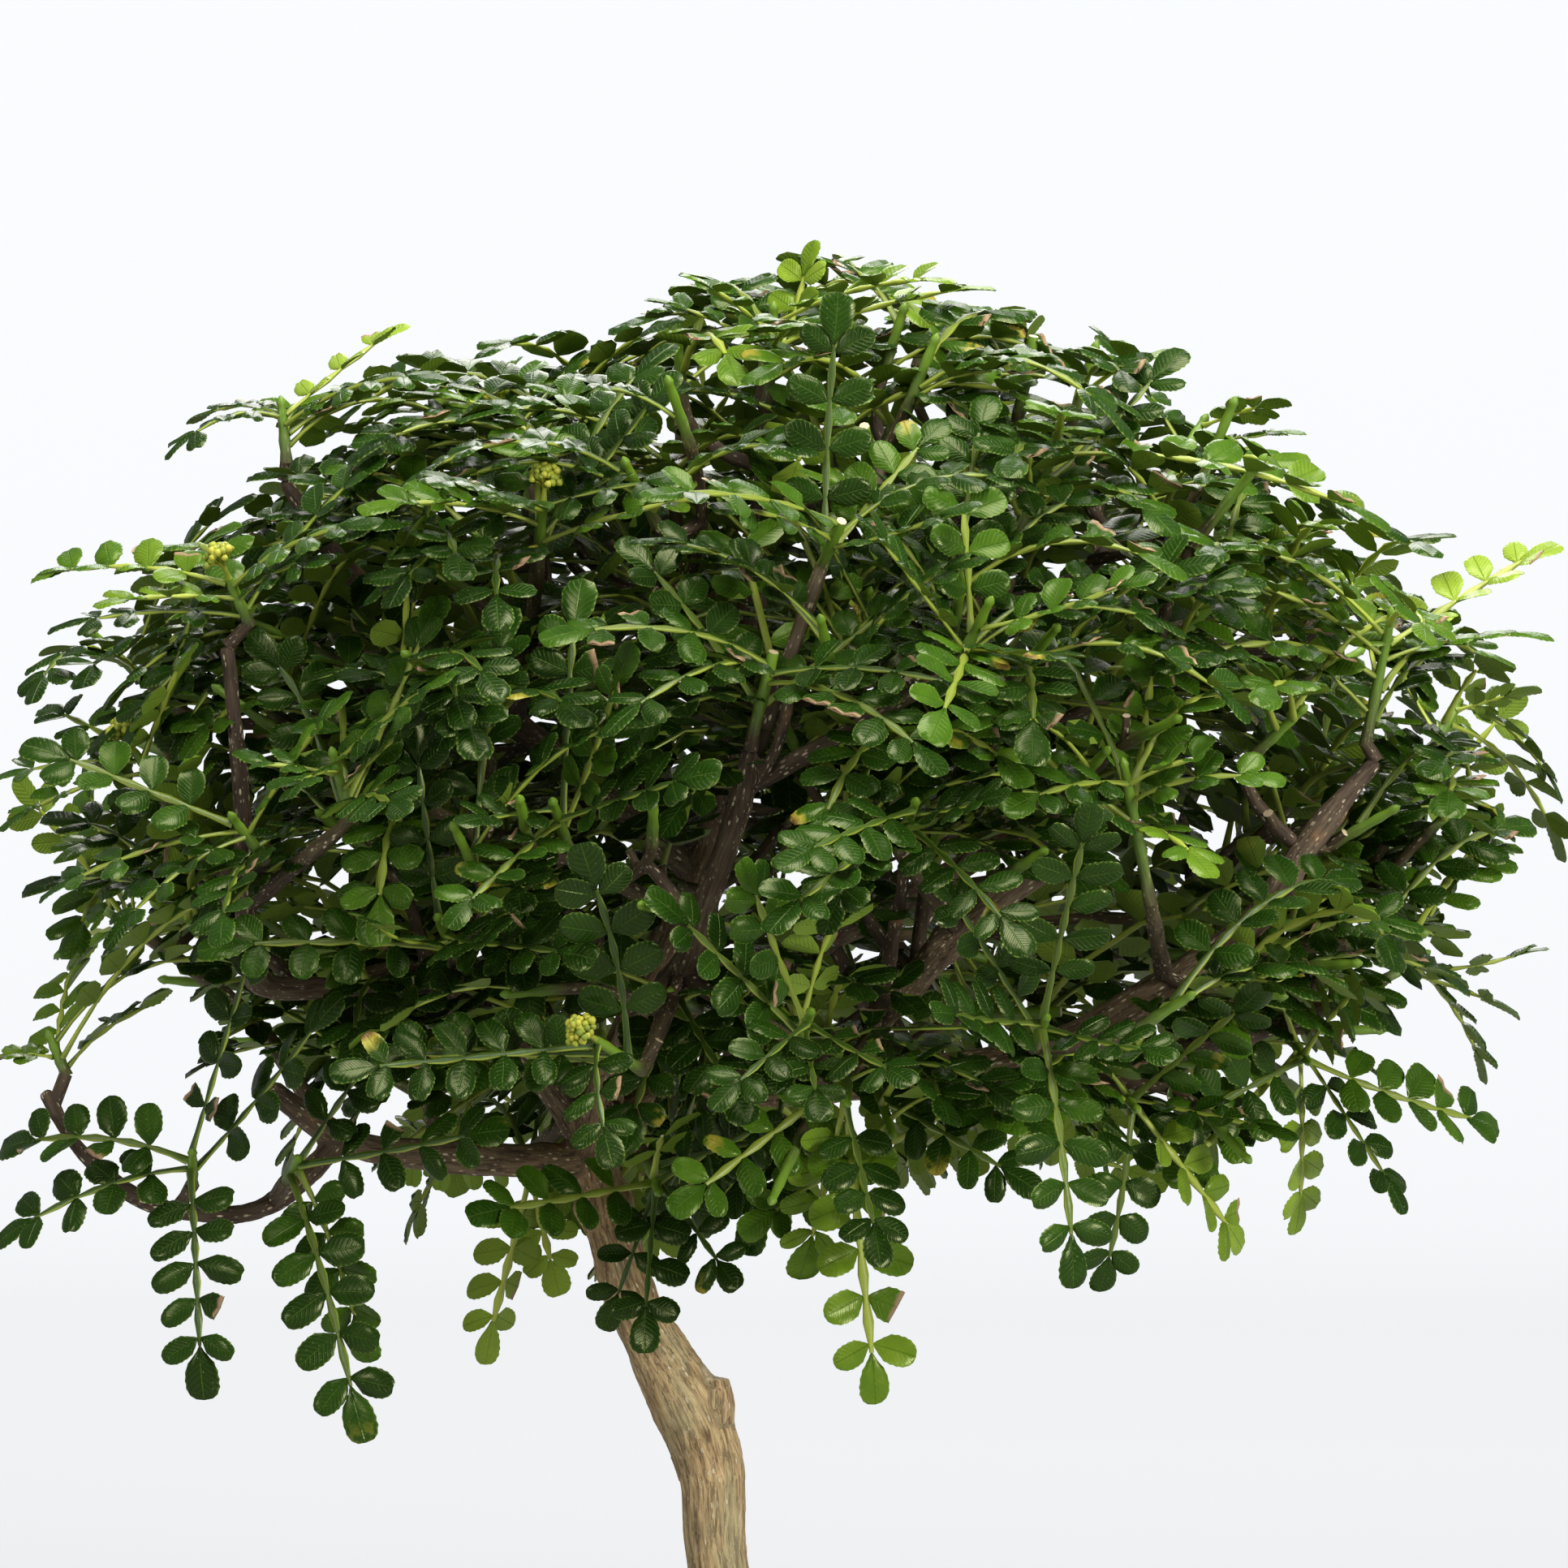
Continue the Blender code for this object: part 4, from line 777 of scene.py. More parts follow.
def arched(leaf):  # above the hanging fronds these arch over and carry their leaflets level
    if leaf["tip"].z > filling["hangBelow"]:
        way = leaf["tip"] - leaf["start"]
        length = way.length
        way.z = way.z * filling["steepness"] - filling["droop"] * length
        way *= length / way.length
        leaf["lead"] += (leaf["start"] + way - leaf["tip"]) * 0.5 + up * length * filling["arch"]
        leaf["tip"] = leaf["start"] + way
        facing, drop = leaf["facing"] + up * filling["level"], way.normalized()
        leaf["facing"] = (facing - drop * facing.dot(drop)).normalized()
        leaf["arched"] = True
    return leaf


def fillLeaves():
    room = Room([limbSkin(rows, 5) for rows in limbRows.values()], sprays + extraShoots, filling["bladeShare"])
    for spray in sprays:
        for leaf in spray["leaves"]:
            room.add(leaf, spray)
        spray["rng"] = random.Random(plan["seed"] * 7000 + len(spray["leaves"]) + len(spray["name"]))
    added = 0
    for layer in range(filling["leavesOnShoot"]):
        for shoot in extraShoots + (sprays if layer < filling["leavesAdded"] else []):
            for _ in range(filling["leafTries"]):
                leaf = arched(freeLeaf(shoot, *filling["leafPlaces"]))
                tip = leaf["tip"]
                if crownDepth(tip) > outlineAt(tip) or not inCrown(tip) or hidesLimb(leaf["start"], tip):
                    continue
                if room.isFree(leaf, shoot):
                    room.add(leaf, shoot)
                    leaf["added"] = True
                    shoot["leaves"].append(leaf)
                    added += 1
                    break
    return added


extraShoots = fillingShoots()
print("bonsai: filling shoots", len(extraShoots), "filling leaves", fillLeaves())


# leaflets, as a few shapes that every frond picks from, in three grades of detail
leafletShape = {
    "halfWidth": 0.315, "notch": 0.95, "thickness": 0.024,
    "grades": [  # rows along the blade, whether its margin has teeth, whether its halves are rounded
        ((0.07, 0.19, 0.33, 0.48, 0.63, 0.77, 0.90), True, True), ((0.15, 0.45, 0.75, 0.93), False, True),
        ((0.2, 0.55, 0.87), False, False)],
    "kinds": [  # fold, cup, droop, twist, widest point, where it is trimmed
        (-0.02, 0.085, 0.10, 0.05, 1.10, None), (0.20, 0.060, 0.12, -0.10, 1.16, None),
        (-0.16, 0.095, 0.18, 0.12, 1.08, None), (0.36, 0.045, 0.04, 0.02, 1.20, None),
        (-0.25, 0.085, 0.22, -0.14, 1.12, None), (0.04, 0.070, 0.12, 0.04, 1.72, None),
        (0.15, 0.050, 0.05, 0.10, 1.15, 0.62)],
    "endKind": 5, "trimmedKind": 6,
}


def leafletHalfWidth(t, widest):
    body = max(0.0, 1 - abs(2 * t ** widest - 1) ** 2.5) ** 0.56
    return leafletShape["halfWidth"] * body * (0.50 + 0.50 * min(1.0, t / 0.32))


def makeLeaflet(name, grade, fold, cup, droop, twist, widest, cutAt):
    rows, toothed, rounded = grade
    notched = [(a + b) / 2 for a, b in zip(rows, rows[1:] + (1.035,))] if toothed else []
    points, spots, cuts = [], [], []

    def place(t, side, share, sunk=False):
        long = min(t, cutAt + 0.05 * side * share) if cutAt else t
        half = leafletHalfWidth(min(t, cutAt) if cutAt else t, widest) * share
        ridge = cup * sin(pi * min(share, 1.0)) - 0.35 * cup * share
        z = fold * half + ridge - droop * long * long + 0.012 * sin(9 * t + 2 * side) * share
        z -= leafletShape["thickness"] if sunk else 0.0
        y, angle = side * half, twist * long
        points.append((long, y * cos(angle) - z * sin(angle), y * sin(angle) + z * cos(angle)))
        spots.append((0.5 + 0.5 * side * min(share, 1.0), t))
        cuts.append(1.0 if cutAt and t >= cutAt - 0.02 else 0.0)
        return len(points) - 1

    base, tip = place(0.0, 0, 0.0), place(0.988, 0, 0.0)
    rims = {(t, side): place(t, side, 1.0) for t in rows for side in (1, -1)}
    teeth = {(t, side): place(t, side, leafletShape["notch"] if t < 0.93 else 1.0) for t in notched for side in (1, -1)}
    faces, upper = [], []
    first, last = rows[0], rows[-1]
    for sunk in (False, True):
        ribs = {t: place(t, 0, 0.0, sunk) for t in rows}
        split = rounded and not sunk
        mids = {(t, side): place(t, side, 0.55) for t in rows for side in (1, -1)} if split else {}
        made = []
        for side in (1, -1):
            ring, inner = [], {t: mids[t, side] if split else ribs[t] for t in rows}
            if split:
                ring += [[base, ribs[first], inner[first]], [inner[last], ribs[last], tip]]
                ring += [[inner[a], ribs[a], ribs[b], inner[b]] for a, b in zip(rows, rows[1:])]
            ring.append([base, inner[first], rims[first, side]])
            for k, (a, b) in enumerate(zip(rows, rows[1:])):
                ring.append([rims[a, side], inner[a], inner[b], rims[b, side]])
                ring[-1] += [teeth[notched[k], side]] if toothed else []
            ring.append([rims[last, side], inner[last], tip])
            ring[-1] += [teeth[notched[-1], side]] if toothed else []
            made += ring if side > 0 else [face[::-1] for face in ring]
        faces += [face[::-1] for face in made] if sunk else made
        upper += [0.0 if sunk else 1.0] * len(made)
    mesh = bpy.data.meshes.new(name)
    mesh.from_pydata(points, [], faces)
    mesh.update()
    if mesh.polygons[0].normal.z < 0:
        mesh.flip_normals()
    mesh.shade_smooth()
    leafMap = mesh.uv_layers.new(name="leafMap")
    for loop in mesh.loops:
        leafMap.uv[loop.index].vector = spots[loop.vertex_index]
    giveAttribute(mesh, "upperSide", upper, domain="FACE")
    giveAttribute(mesh, "cutEdge", cuts)
    rim = {base, tip, *rims.values(), *teeth.values()}
    giveAttribute(mesh, "sharp_edge", [all(v in rim for v in edge.vertices) for edge in mesh.edges], "BOOLEAN", "EDGE")
    return bpy.data.objects.new(name, mesh)


leafletSet = bpy.data.collections.new("leafletSet")
for detail, grade in zip("abc", leafletShape["grades"]):
    for index, kind in enumerate(leafletShape["kinds"]):
        leafletSet.objects.link(makeLeaflet(f"leaflet{detail}{index}", grade, *kind))


# fronds: points for the leaflets and chains of edges for the rachis, shoots and twigs
frondShape = {
    "pairSpacing": 6.3, "leafletLength": 9.5, "endLeafletLength": 11.0, "firstPair": 0.2, "openAngle": 1.2,
    "wingHalf": 1.12, "petioleHalf": 0.72, "shootSides": 8, "rachisSides": 6, "rachisFlatness": 0.62,
    "trimmedShare": 0.05, "cutFrondShare": 0.08, "missingShare": 0.012, "edgeMargin": 0.3, "shortening": 0.975,
    "folds": (-0.06, 0.34), "openVaries": (-0.14, 0.1), "broadness": (0.9, 1.16), "liftVaries": 0.12, "pitch": 0.22,
    "matureKinds": (0, 0, 1, 2, 3, 4), "youngKinds": (0, 1, 3, 3, 2), "youngFrom": 1.4,
    "plainInside": 0.70, "middlingInside": 0.88, "fineBelow": 196.0, "gradeSize": (1.0, 1.04, 1.14),
}
boxLow, boxHigh = (Vector(corner) / mm for corner in cadBounds)


class Growth:  # gathers what one piece is grown from
    labels = ("tone", "ownSeed", "age", "thick", "alongStem", "role", "cutEnd")

    def __init__(self):
        self.places, self.turns, self.sizes, self.picks, self.values, self.facing, self.edges = ([] for _ in range(7))

    def add(self, place, turn, size, pick, values, facing=(0, 0, 1)):
        self.places.append(tuple(c * mm for c in place))
        self.picks.append(pick)
        self.values.append(values)
        for column, row in ((self.turns, turn), (self.sizes, size), (self.facing, facing)):
            column.extend(row)
        return len(self.places) - 1

    def stem(self, path, radii, facings, ages, tone, seed, role, cut=False):
        if cut:  # one more ring just short of the end keeps the pale cut face to itself
            back = (path[-1] - path[-2]).normalized() * 0.06
            path, radii = path + [path[-1] + back], radii + [radii[-1] * 0.97]
            facings, ages = facings + [facings[-1]], ages + [ages[-1]]
        last, travelled = None, seed * 50
        for k, (point, radius, facing, age) in enumerate(zip(path, radii, facings, ages)):
            travelled += (point - path[k - 1]).length if k else 0
            values = (tone, seed, age, radius * mm, travelled, role, float(cut and k == len(path) - 1))
            now = self.add(point, (1, 0, 0, 0), (1, 1, 1), 0, values, facing)
            if k:
                self.edges.append((last, now))
            last = now

    def piece(self, name, tree, values):
        mesh = bpy.data.meshes.new(name)
        mesh.from_pydata(self.places, self.edges, [])
        for label, column in zip(self.labels, zip(*self.values)):
            giveAttribute(mesh, label, column)
        giveAttribute(mesh, "pick", self.picks, "INT")
        giveAttribute(mesh, "size", self.sizes, "FLOAT_VECTOR")
        giveAttribute(mesh, "faceUp", self.facing, "FLOAT_VECTOR")
        giveAttribute(mesh, "turn", self.turns, "QUATERNION")
        return grownThrough(linked(name, mesh), tree, values)


def frondParts(leaf, tone, seed, grade):
    rng = random.Random(seed)
    start, lead, tip = leaf["start"], leaf["lead"], leaf["tip"]
    length = (lead - start).length * 0.5 + (tip - lead).length * 0.5 + (tip - start).length * 0.25
    length = min(length, (tip - start).length * 1.12)
    first, scale = frondShape["firstPair"], min(1.0, 0.5 + 0.5 * length / 44.0) * frondShape["gradeSize"][grade]
    endLength = frondShape["endLeafletLength"] * scale * rng.uniform(0.88, 1.1)
    lastPair = 1 - endLength / length * 0.92
    pairs = max(3, round((lastPair - first) * length / (frondShape["pairSpacing"] * scale)) + 1)
    cut = rng.random() < frondShape["cutFrondShare"] and not leaf.get("key")
    fold = rng.uniform(*frondShape["folds"]) + 0.10 * tone
    opened = frondShape["openAngle"] + rng.uniform(*frondShape["openVaries"])
    fold += 0.12 if leaf.get("arched") else 0.0
    broad, petiole = rng.uniform(*frondShape["broadness"]), frondShape["petioleHalf"]
    lifts, pitch = frondShape["liftVaries"], frondShape["pitch"]
    half = frondShape["wingHalf"] * (0.8 + 0.14 * tone) * scale
    stops = [first + (lastPair - first) * k / (pairs - 1) for k in range(pairs)]
    if cut:
        stops = stops[:max(2, pairs - rng.choice((1, 2)))]
    leaflets, path, radii, facings = [], [], [], []

    def joint(share, radius):
        at, _, _, rise = leafAxes(leaf, share)
        path.append(at)
        radii.append(radius)
        facings.append(rise)

    joint(0, petiole * 1.3)
    path[0] = start
    joint(first * 0.45, petiole * scale)
    joint(first * 0.8, petiole * scale)
    for k, share in enumerate(stops):
        at, way, across, rise = leafAxes(leaf, share)
        size = frondShape["leafletLength"] * scale * (0.80 + 0.2 * sin(pi * (k + 1.2) / (pairs + 0.8)))
        for side in (1, -1):
            if rng.random() < frondShape["missingShare"]:
                continue
            out = across * side
            lift = fold + rng.uniform(-lifts, lifts)
            angle = opened + 0.1 - 0.32 * k / pairs + rng.uniform(-0.1, 0.1)
            aim = turned(way, turned(out, rise, lift), angle).normalized()
            normal = rise * cos(lift) - out * sin(lift) + way * rng.uniform(-pitch, pitch)
            pick = rng.choice(frondShape["matureKinds" if tone < frondShape["youngFrom"] else "youngKinds"])
            if rng.random() < frondShape["trimmedShare"]:
                pick = leafletShape["trimmedKind"]
            leaflets.append((at + out * half * 0.3, aim, normal, size * rng.uniform(0.92, 1.07),
                             broad * rng.uniform(0.94, 1.07), pick, rng.random()))
        if grade == 2 and k % 2:
            continue
        joint(share, half * (0.5 if grade < 2 else 0.7))
        if k < len(stops) - 1 and grade < 2:
            joint(share + (stops[k + 1] - share) * 0.55, half)
    joint(stops[-1] + 0.028, half * 0.42)
    if not cut:
        at, way, across, rise = leafAxes(leaf, stops[-1] + 0.028)
        normal = rise + across * rng.uniform(-0.2, 0.2)
        leaflets.append((at - way * 0.3, way, normal, endLength, rng.uniform(0.94, 1.08), leafletShape["endKind"],
                         rng.random()))
    return leaflets, path, radii, facings, cut


def addFrond(growth, leaf, tone, seed, grade):
    margin = frondShape["edgeMargin"]
    for _ in range(14):  # a frond that reaches out of the solid model's box is made shorter
        leaflets, path, radii, facings, cut = frondParts(leaf, tone, seed, grade)
        ends = [at + aim * length for at, aim, _, length, *_ in leaflets]
        if all(boxLow[i] + margin <= end[i] <= boxHigh[i] - margin for end in ends for i in range(3)):
            break
        for name in ("tip", "lead"):
            leaf[name] = leaf["start"].lerp(leaf[name], frondShape["shortening"])
    for at, aim, normal, length, wide, pick, own in leaflets:
        across = normal.cross(aim).normalized()
        turn = Matrix((aim, across, aim.cross(across))).transposed().to_quaternion()
        pick += len(leafletShape["kinds"]) * grade
        growth.add(at, turn, (length * mm, length * wide * mm, length * mm), pick,
                   (tone + (own - 0.5) * 0.3, own, 0.0, 0.0, 0.0, 0, 0.0))
    ages = [0.12] + [0.0] * (len(path) - 1)
    growth.stem(path, radii, facings, ages, tone, random.Random(seed).random(), 1, cut)


# geometry nodes: shapes on their points, and round stems and winged rachises along the chains
def field(tree, name, kind):
    return wire(tree, "GeometryNodeInputNamedAttribute", {"Name": name}, data_type=kind)


def ofRole(tree, role):
    inputs = {0: field(tree, "role", "FLOAT"), 1: float(role), "Epsilon": 0.25}
    return wire(tree, "FunctionNodeCompare", inputs, data_type="FLOAT", operation="EQUAL")


def parted(growth, role):
    tree = growth.tree
    return wire(tree, "GeometryNodeSeparateGeometry", {"Geometry": growth, "Selection": ofRole(tree, role)})


def painted(geometry, material, **inputs):
    return wire(geometry.tree, "GeometryNodeSetMaterial", {"Geometry": geometry, "Material": material, **inputs})


def realized(geometry):
    return wire(geometry.tree, "GeometryNodeRealizeInstances", {"Geometry": geometry})


def joined(*layers):  # in the order in which they stand
    tree = layers[0].tree
    node = addNode(tree, "GeometryNodeJoinGeometry")
    for layer in reversed(layers):
        tree.links.new(layer.socket, node.inputs[0])
    return Wire(node.outputs[0])


def childrenOf(collection):
    return wire(collection.tree, "GeometryNodeCollectionInfo", {
        "Collection": collection, "Separate Children": True, "Reset Children": True})


def placedOn(points, shapes, scale, **inputs):
    tree = points.tree
    size = field(tree, "size", "FLOAT_VECTOR").vector("SCALE", scale, "Scale")
    return wire(tree, "GeometryNodeInstanceOnPoints", {
        "Points": points, "Instance": shapes, "Rotation": field(tree, "turn", "QUATERNION"), "Scale": size, **inputs})


def sweptStems(chains, sides, flatness, label):
    tree = chains.tree
    curve = wire(tree, "GeometryNodeMeshToCurve", {"Mesh": chains})
    curve = wire(tree, "GeometryNodeSetCurveNormal",
                 {"Curve": curve, "Normal": field(tree, "faceUp", "FLOAT_VECTOR")}, mode="FREE")
    ring = wire(tree, "GeometryNodeCurvePrimitiveCircle", {"Resolution": sides, "Radius": 1.0})
    around = wire(tree, "GeometryNodeInputPosition")
    ring = wire(tree, "GeometryNodeStoreNamedAttribute", {"Geometry": ring, "Name": "aroundStem", "Value": around},
                data_type="FLOAT_VECTOR", domain="POINT")
    shape = wire(tree, "ShaderNodeCombineXYZ", {0: flatness, 1: 1.0, 2: 1.0})
    ring = wire(tree, "GeometryNodeTransform", {"Geometry": ring, "Scale": shape})
    return wire(tree, "GeometryNodeCurveToMesh", {
        "Curve": curve, "Profile Curve": ring, "Scale": field(tree, "thick", "FLOAT"), "Fill Caps": True}, label=label)


def frondBuilder():
    tree, given, out = newTree("GeometryNodeTree", "frondBuilder", {
        "Growth": ["Geometry"], "Leaflet shapes": ["Collection"], "Stem sides": ["Int", frondShape["shootSides"]],
        "Rachis sides": ["Int", frondShape["rachisSides"]], "Rachis flatness": ["Float", frondShape["rachisFlatness"]],
        "Leaflet size": ["Float", 1.0], "Blade material": ["Material"], "Stem material": ["Material"],
    }, {"Fronds": ["Geometry"]})
    leaflets, rachises, stems = (parted(given["Growth"], role) for role in range(3))
    blades = placedOn(leaflets, childrenOf(given["Leaflet shapes"]), given["Leaflet size"], **{
        "Pick Instance": True, "Instance Index": field(tree, "pick", "INT")})
    winged = sweptStems(rachises, given["Rachis sides"], given["Rachis flatness"], "winged rachis")
    rounded = sweptStems(stems, given["Stem sides"], 1.0, "round stem")
    whole = painted(realized(joined(blades, winged, rounded)), given["Stem material"])
    feed(out, {"Fronds": painted(whole, given["Blade material"], Selection=ofRole(tree, 0))})
    return tree


# shader groups that more than one material uses
def buildMottle():
    tree, given, out = newTree("ShaderNodeTree", "mottle", {
        "Place": ["Vector"], "Size": ["Float", 100.0], "Softness": ["Float", 0.5], "Dark": ["Color", (0, 0, 0, 1)],
        "Light": ["Color", (1, 1, 1, 1)]}, {"Colour": ["Color"], "Value": ["Float"]})
    half = given["Softness"] * 0.5
    value = noisy(given["Place"], given["Size"], 5.0, 0.62).spread(0.72 - half, 0.28 + half)
    feed(out, {"Colour": mixed(value, given["Light"], given["Dark"]), "Value": 1.0 - value})
    return tree


def buildPaleDots():  # round dots, some of them missing, as oil glands, lenticels and grit have
    tree, given, out = newTree("ShaderNodeTree", "paleDots", {
        "Place": ["Vector"], "Spacing": ["Float", 1.0], "Width": ["Float", 0.2], "Missing": ["Float", 0.3]},
        {"Mask": ["Float"]})
    cells = addNode(tree, "ShaderNodeTexVoronoi", {
        "Vector": given["Place"], "Scale": 1.0 / given["Spacing"], "Randomness": 0.8}).outputs
    disc = Wire(cells["Distance"]).spread(given["Width"] * 0.6, given["Width"], 1.0, 0.0)
    own = wire(tree, "ShaderNodeSeparateColor", {0: Wire(cells["Color"])})
    feed(out, {"Mask": disc * (own > given["Missing"])})
    return tree


mottle, paleDots = buildMottle(), buildPaleDots()


def mottled(place, size, softness, shades):  # a colour and how light it is
    dark, light = shades
    return [Wire(socket) for socket in addNode(place.tree, "ShaderNodeGroup", {
        "Place": place, "Size": size, "Softness": softness, "Dark": dark, "Light": light}, node_tree=mottle).outputs]


def dotted(place, spacing, width, missing):
    return wire(place.tree, "ShaderNodeGroup", {
        "Place": place, "Spacing": spacing, "Width": width, "Missing": missing}, node_tree=paleDots)


leafFinish = {
    "greens": [(0.0, (0.0065, 0.024, 0.0020)), (0.25, (0.0150, 0.050, 0.0030)), (0.5, (0.055, 0.130, 0.0060)),
               (0.75, (0.145, 0.240, 0.013)), (1.0, (0.270, 0.390, 0.035))],
    # under: the underside colour, partly its own paler green and partly painted light shining through the blade
    "under": (0.215, 0.320, 0.034), "underShare": 0.72, "roughness": (0.17, 0.34), "underRoughness": 0.5,
    "sheen": 0.30, "sheenTint": (0.94, 1.0, 0.50), "dots": (0.8, 0.17, 0.25), "dotColour": (0.16, 0.24, 0.06),
    "marginColour": (0.20, 0.30, 0.055), "ribColour": (0.085, 0.17, 0.020), "trimColour": (0.37, 0.24, 0.14),
    "blotch": (0.30, 0.26, 0.030), "blotchEdge": (0.13, 0.060, 0.020), "bump": 0.00018, "sideVeins": 9.0,
}


def leafBlade():
    material, tree, shader = newMaterial("leafBlade")
    tint = leafFinish
    spot = wire(tree, "ShaderNodeUVMap", uv_map="leafMap")
    across, along, _ = spot.split()
    across = (across - 0.5).size() * 2.0
    tone, own, upper, trimmed = (named(tree, label) for label in ("tone", "ownSeed", "upperSide", "cutEdge"))
    patches = noisy(objectPlace(tree), 260.0, 3.0)
    shade = tone * 0.42 + patches.spread(0.3, 0.7, -0.05, 0.07) + own.spread(0.0, 1.0, -0.04, 0.06)
    green = ramp(shade, tint["greens"])
    # side veins leave the midrib slanting forward
    vein = ((along * tint["sideVeins"] + across * -2.4) * pi).sine().size() ** 8.0
    vein = (1.0 - vein).spread(0.86, 1.0)
    green = mixed(vein * 0.07, green, tint["ribColour"])
    shift = wire(tree, "ShaderNodeCombineXYZ", {2: own * 37.0})
    dots = dotted(spot.vector("MULTIPLY", (4.6, 8.7, 1.0)).vector("ADD", shift), *tint["dots"])
    green = mixed(dots * 0.6, green, tint["dotColour"])
    rib = across.spread(0.015, 0.06, 1.0, 0.0)
    green = mixed(rib * 0.42, green, tint["ribColour"])
    # the toothed margin carries a pale gland in each notch
    teeth = (along * (tau * tint["sideVeins"])).sine()
    glands = across.spread(0.86, 0.97) * teeth.spread(-0.2, 0.8, 0.25, 1.0)
    green = mixed(glands * 0.6, green, tint["marginColour"])
    # now and then an old leaflet yellows from its tip, with a brown edge
    spoiled = own.spread(0.978, 0.998) * along.spread(0.35, 0.95) * patches.spread(0.42, 0.56)
    green = mixed(spoiled.spread(0.1, 0.5), green, tint["blotch"])
    green = mixed(spoiled.spread(0.6, 0.85), green, tint["blotchEdge"])
    # the underside is paler yellow-green: partly its own colour, partly painted light shining through the blade
    green = mixed(upper, mixed(tint["underShare"], green, tint["under"]), green)
    gloss = patches.spread(0.25, 0.75, *tint["roughness"])
    height = dots * 0.35 - rib * 0.8 - vein * 0.3 + patches * 0.9
    feed(shader, {
        "Base Color": mixed(trimmed.spread(0.25, 0.8), green, tint["trimColour"]),
        "Roughness": wire(tree, "ShaderNodeMix", {0: upper, 2: tint["underRoughness"], 3: gloss}),
        "Specular IOR Level": tint["sheen"], "Specular Tint": tint["sheenTint"],
        "Normal": bump(height, tint["bump"], 0.8)})
    return material


barkFinish = {
    "ages": [(0.0, (0.030, 0.085, 0.010)), (0.12, (0.085, 0.150, 0.022)), (0.26, (0.075, 0.060, 0.022)),
             (0.45, (0.062, 0.040, 0.025)), (0.62, (0.135, 0.098, 0.058)), (0.84, (0.290, 0.190, 0.090)),
             (1.0, (0.470, 0.345, 0.180))],
    "streaks": ((0.52, 0.42, 0.34), (1.5, 1.48, 1.42)), "crackAndShade": (0.040, 0.024, 0.014), "lichen": (0.40, 0.40, 0.22),
    "lenticel": (0.82, 0.70, 0.46), "lenticels": (1.1, 0.27, 0.3), "fineLenticels": (0.45, 0.30, 0.7),
    "scar": (0.30, 0.150, 0.060), "woodEnd": (0.66, 0.53, 0.33), "rachisTop": (0.018, 0.058, 0.004),
    "rachisBelow": (0.350, 0.430, 0.050), "youngRachis": (0.52, 0.58, 0.07),
    "youngShoot": ((0.100, 0.240, 0.012), (0.20, 0.30, 0.022)), "bump": 0.0006, "youngBump": 0.0003,
}


def barkSkin(name="barkSkin", young=False):
    material, tree, shader = newMaterial(name)
    tint, ring = barkFinish, named(tree, "aroundStem", "Vector")
    age, tone, cutEnd, scar, along = (named(tree, label) for label in ("age", "tone", "cutEnd", "scar", "alongStem"))
    x, y, _ = ring.vector("SCALE", named(tree, "thick") * 1000.0, "Scale").split()  # in millimetres

    def stretched(share):  # round the stem and along it
        return wire(tree, "ShaderNodeCombineXYZ", {0: x, 1: y, 2: along * share})

    streaks, skin = noisy(stretched(0.12), 1.1, 5.0, 0.66), ramp(age, tint["ages"])
    darker, lighter = (mixed(1.0, skin, shade, "MULTIPLY") for shade in tint["streaks"])
    skin = mixed(streaks.spread(0.34, 0.62), darker, lighter)
    if young:  # the underside of a rachis is yellow-green, its top as dark as the blades
        below = mixed(tone.spread(0.0, 2.0, 0.0, 0.35), tint["rachisBelow"], tint["youngRachis"])
        above = mixed(tone.spread(0.15, 1.3, 0.05, 0.9), tint["rachisTop"], below)
        rachis = mixed(ring.split()[0].spread(0.3, 0.7), below, above)
        fresh = mixed(named(tree, "role").spread(1.2, 1.7), rachis, mixed(streaks, *tint["youngShoot"]))
        skin = mixed(age.spread(0.04, 0.2), fresh, skin)
    # dark cracks along the stem: partly darker bark, partly painted shade in the furrows
    cracks = noisy(stretched(0.1), 1.7, 4.0, 0.7).spread(0.36, 0.46, 1.0, 0.0) * age.spread(0.3, 0.7)
    skin = mixed(cracks * 0.42, skin, tint["crackAndShade"])
    # grey-green bloom in patches on the old wood
    bloom = noisy(stretched(0.45), 0.16, 3.0).spread(0.48, 0.66, 0.0, 0.42) * age.spread(0.75, 0.95)
    skin = mixed(bloom, skin, tint["lichen"])
    # lenticels: pale specks that stand in rows along the stem
    rows = noisy(stretched(0.03), 0.75, 1.0).spread(0.42, 0.50, 0.3, 1.0)
    dots = dotted(stretched(0.42), *tint["lenticels"]) * rows
    dots = dots.atLeast(dotted(stretched(0.35), *tint["fineLenticels"]) * 0.6) * age.spread(0.1, 0.4)
    skin = mixed(dots * 0.9, skin, tint["lenticel"])
    skin = mixed(scar * 0.8, skin, tint["scar"])
    feed(shader, {
        "Base Color": mixed(cutEnd, skin, tint["woodEnd"]), "Roughness": age.spread(0.0, 0.4, 0.36, 0.78),
        "Normal": bump(streaks * 0.9 + dots * 0.5 - cracks * 0.8, tint["youngBump" if young else "bump"], 0.75)})
    return material


leafMaterial, barkMaterial, shootMaterial = leafBlade(), barkSkin(), barkSkin("greenShoot", True)
frondTree = frondBuilder()
frondInputs = {"Leaflet shapes": leafletSet, "Blade material": leafMaterial, "Stem material": shootMaterial}
pruned = ("front_top", "left_edge", "top_mid_right", "front_left", "upper_front", "right_edge")
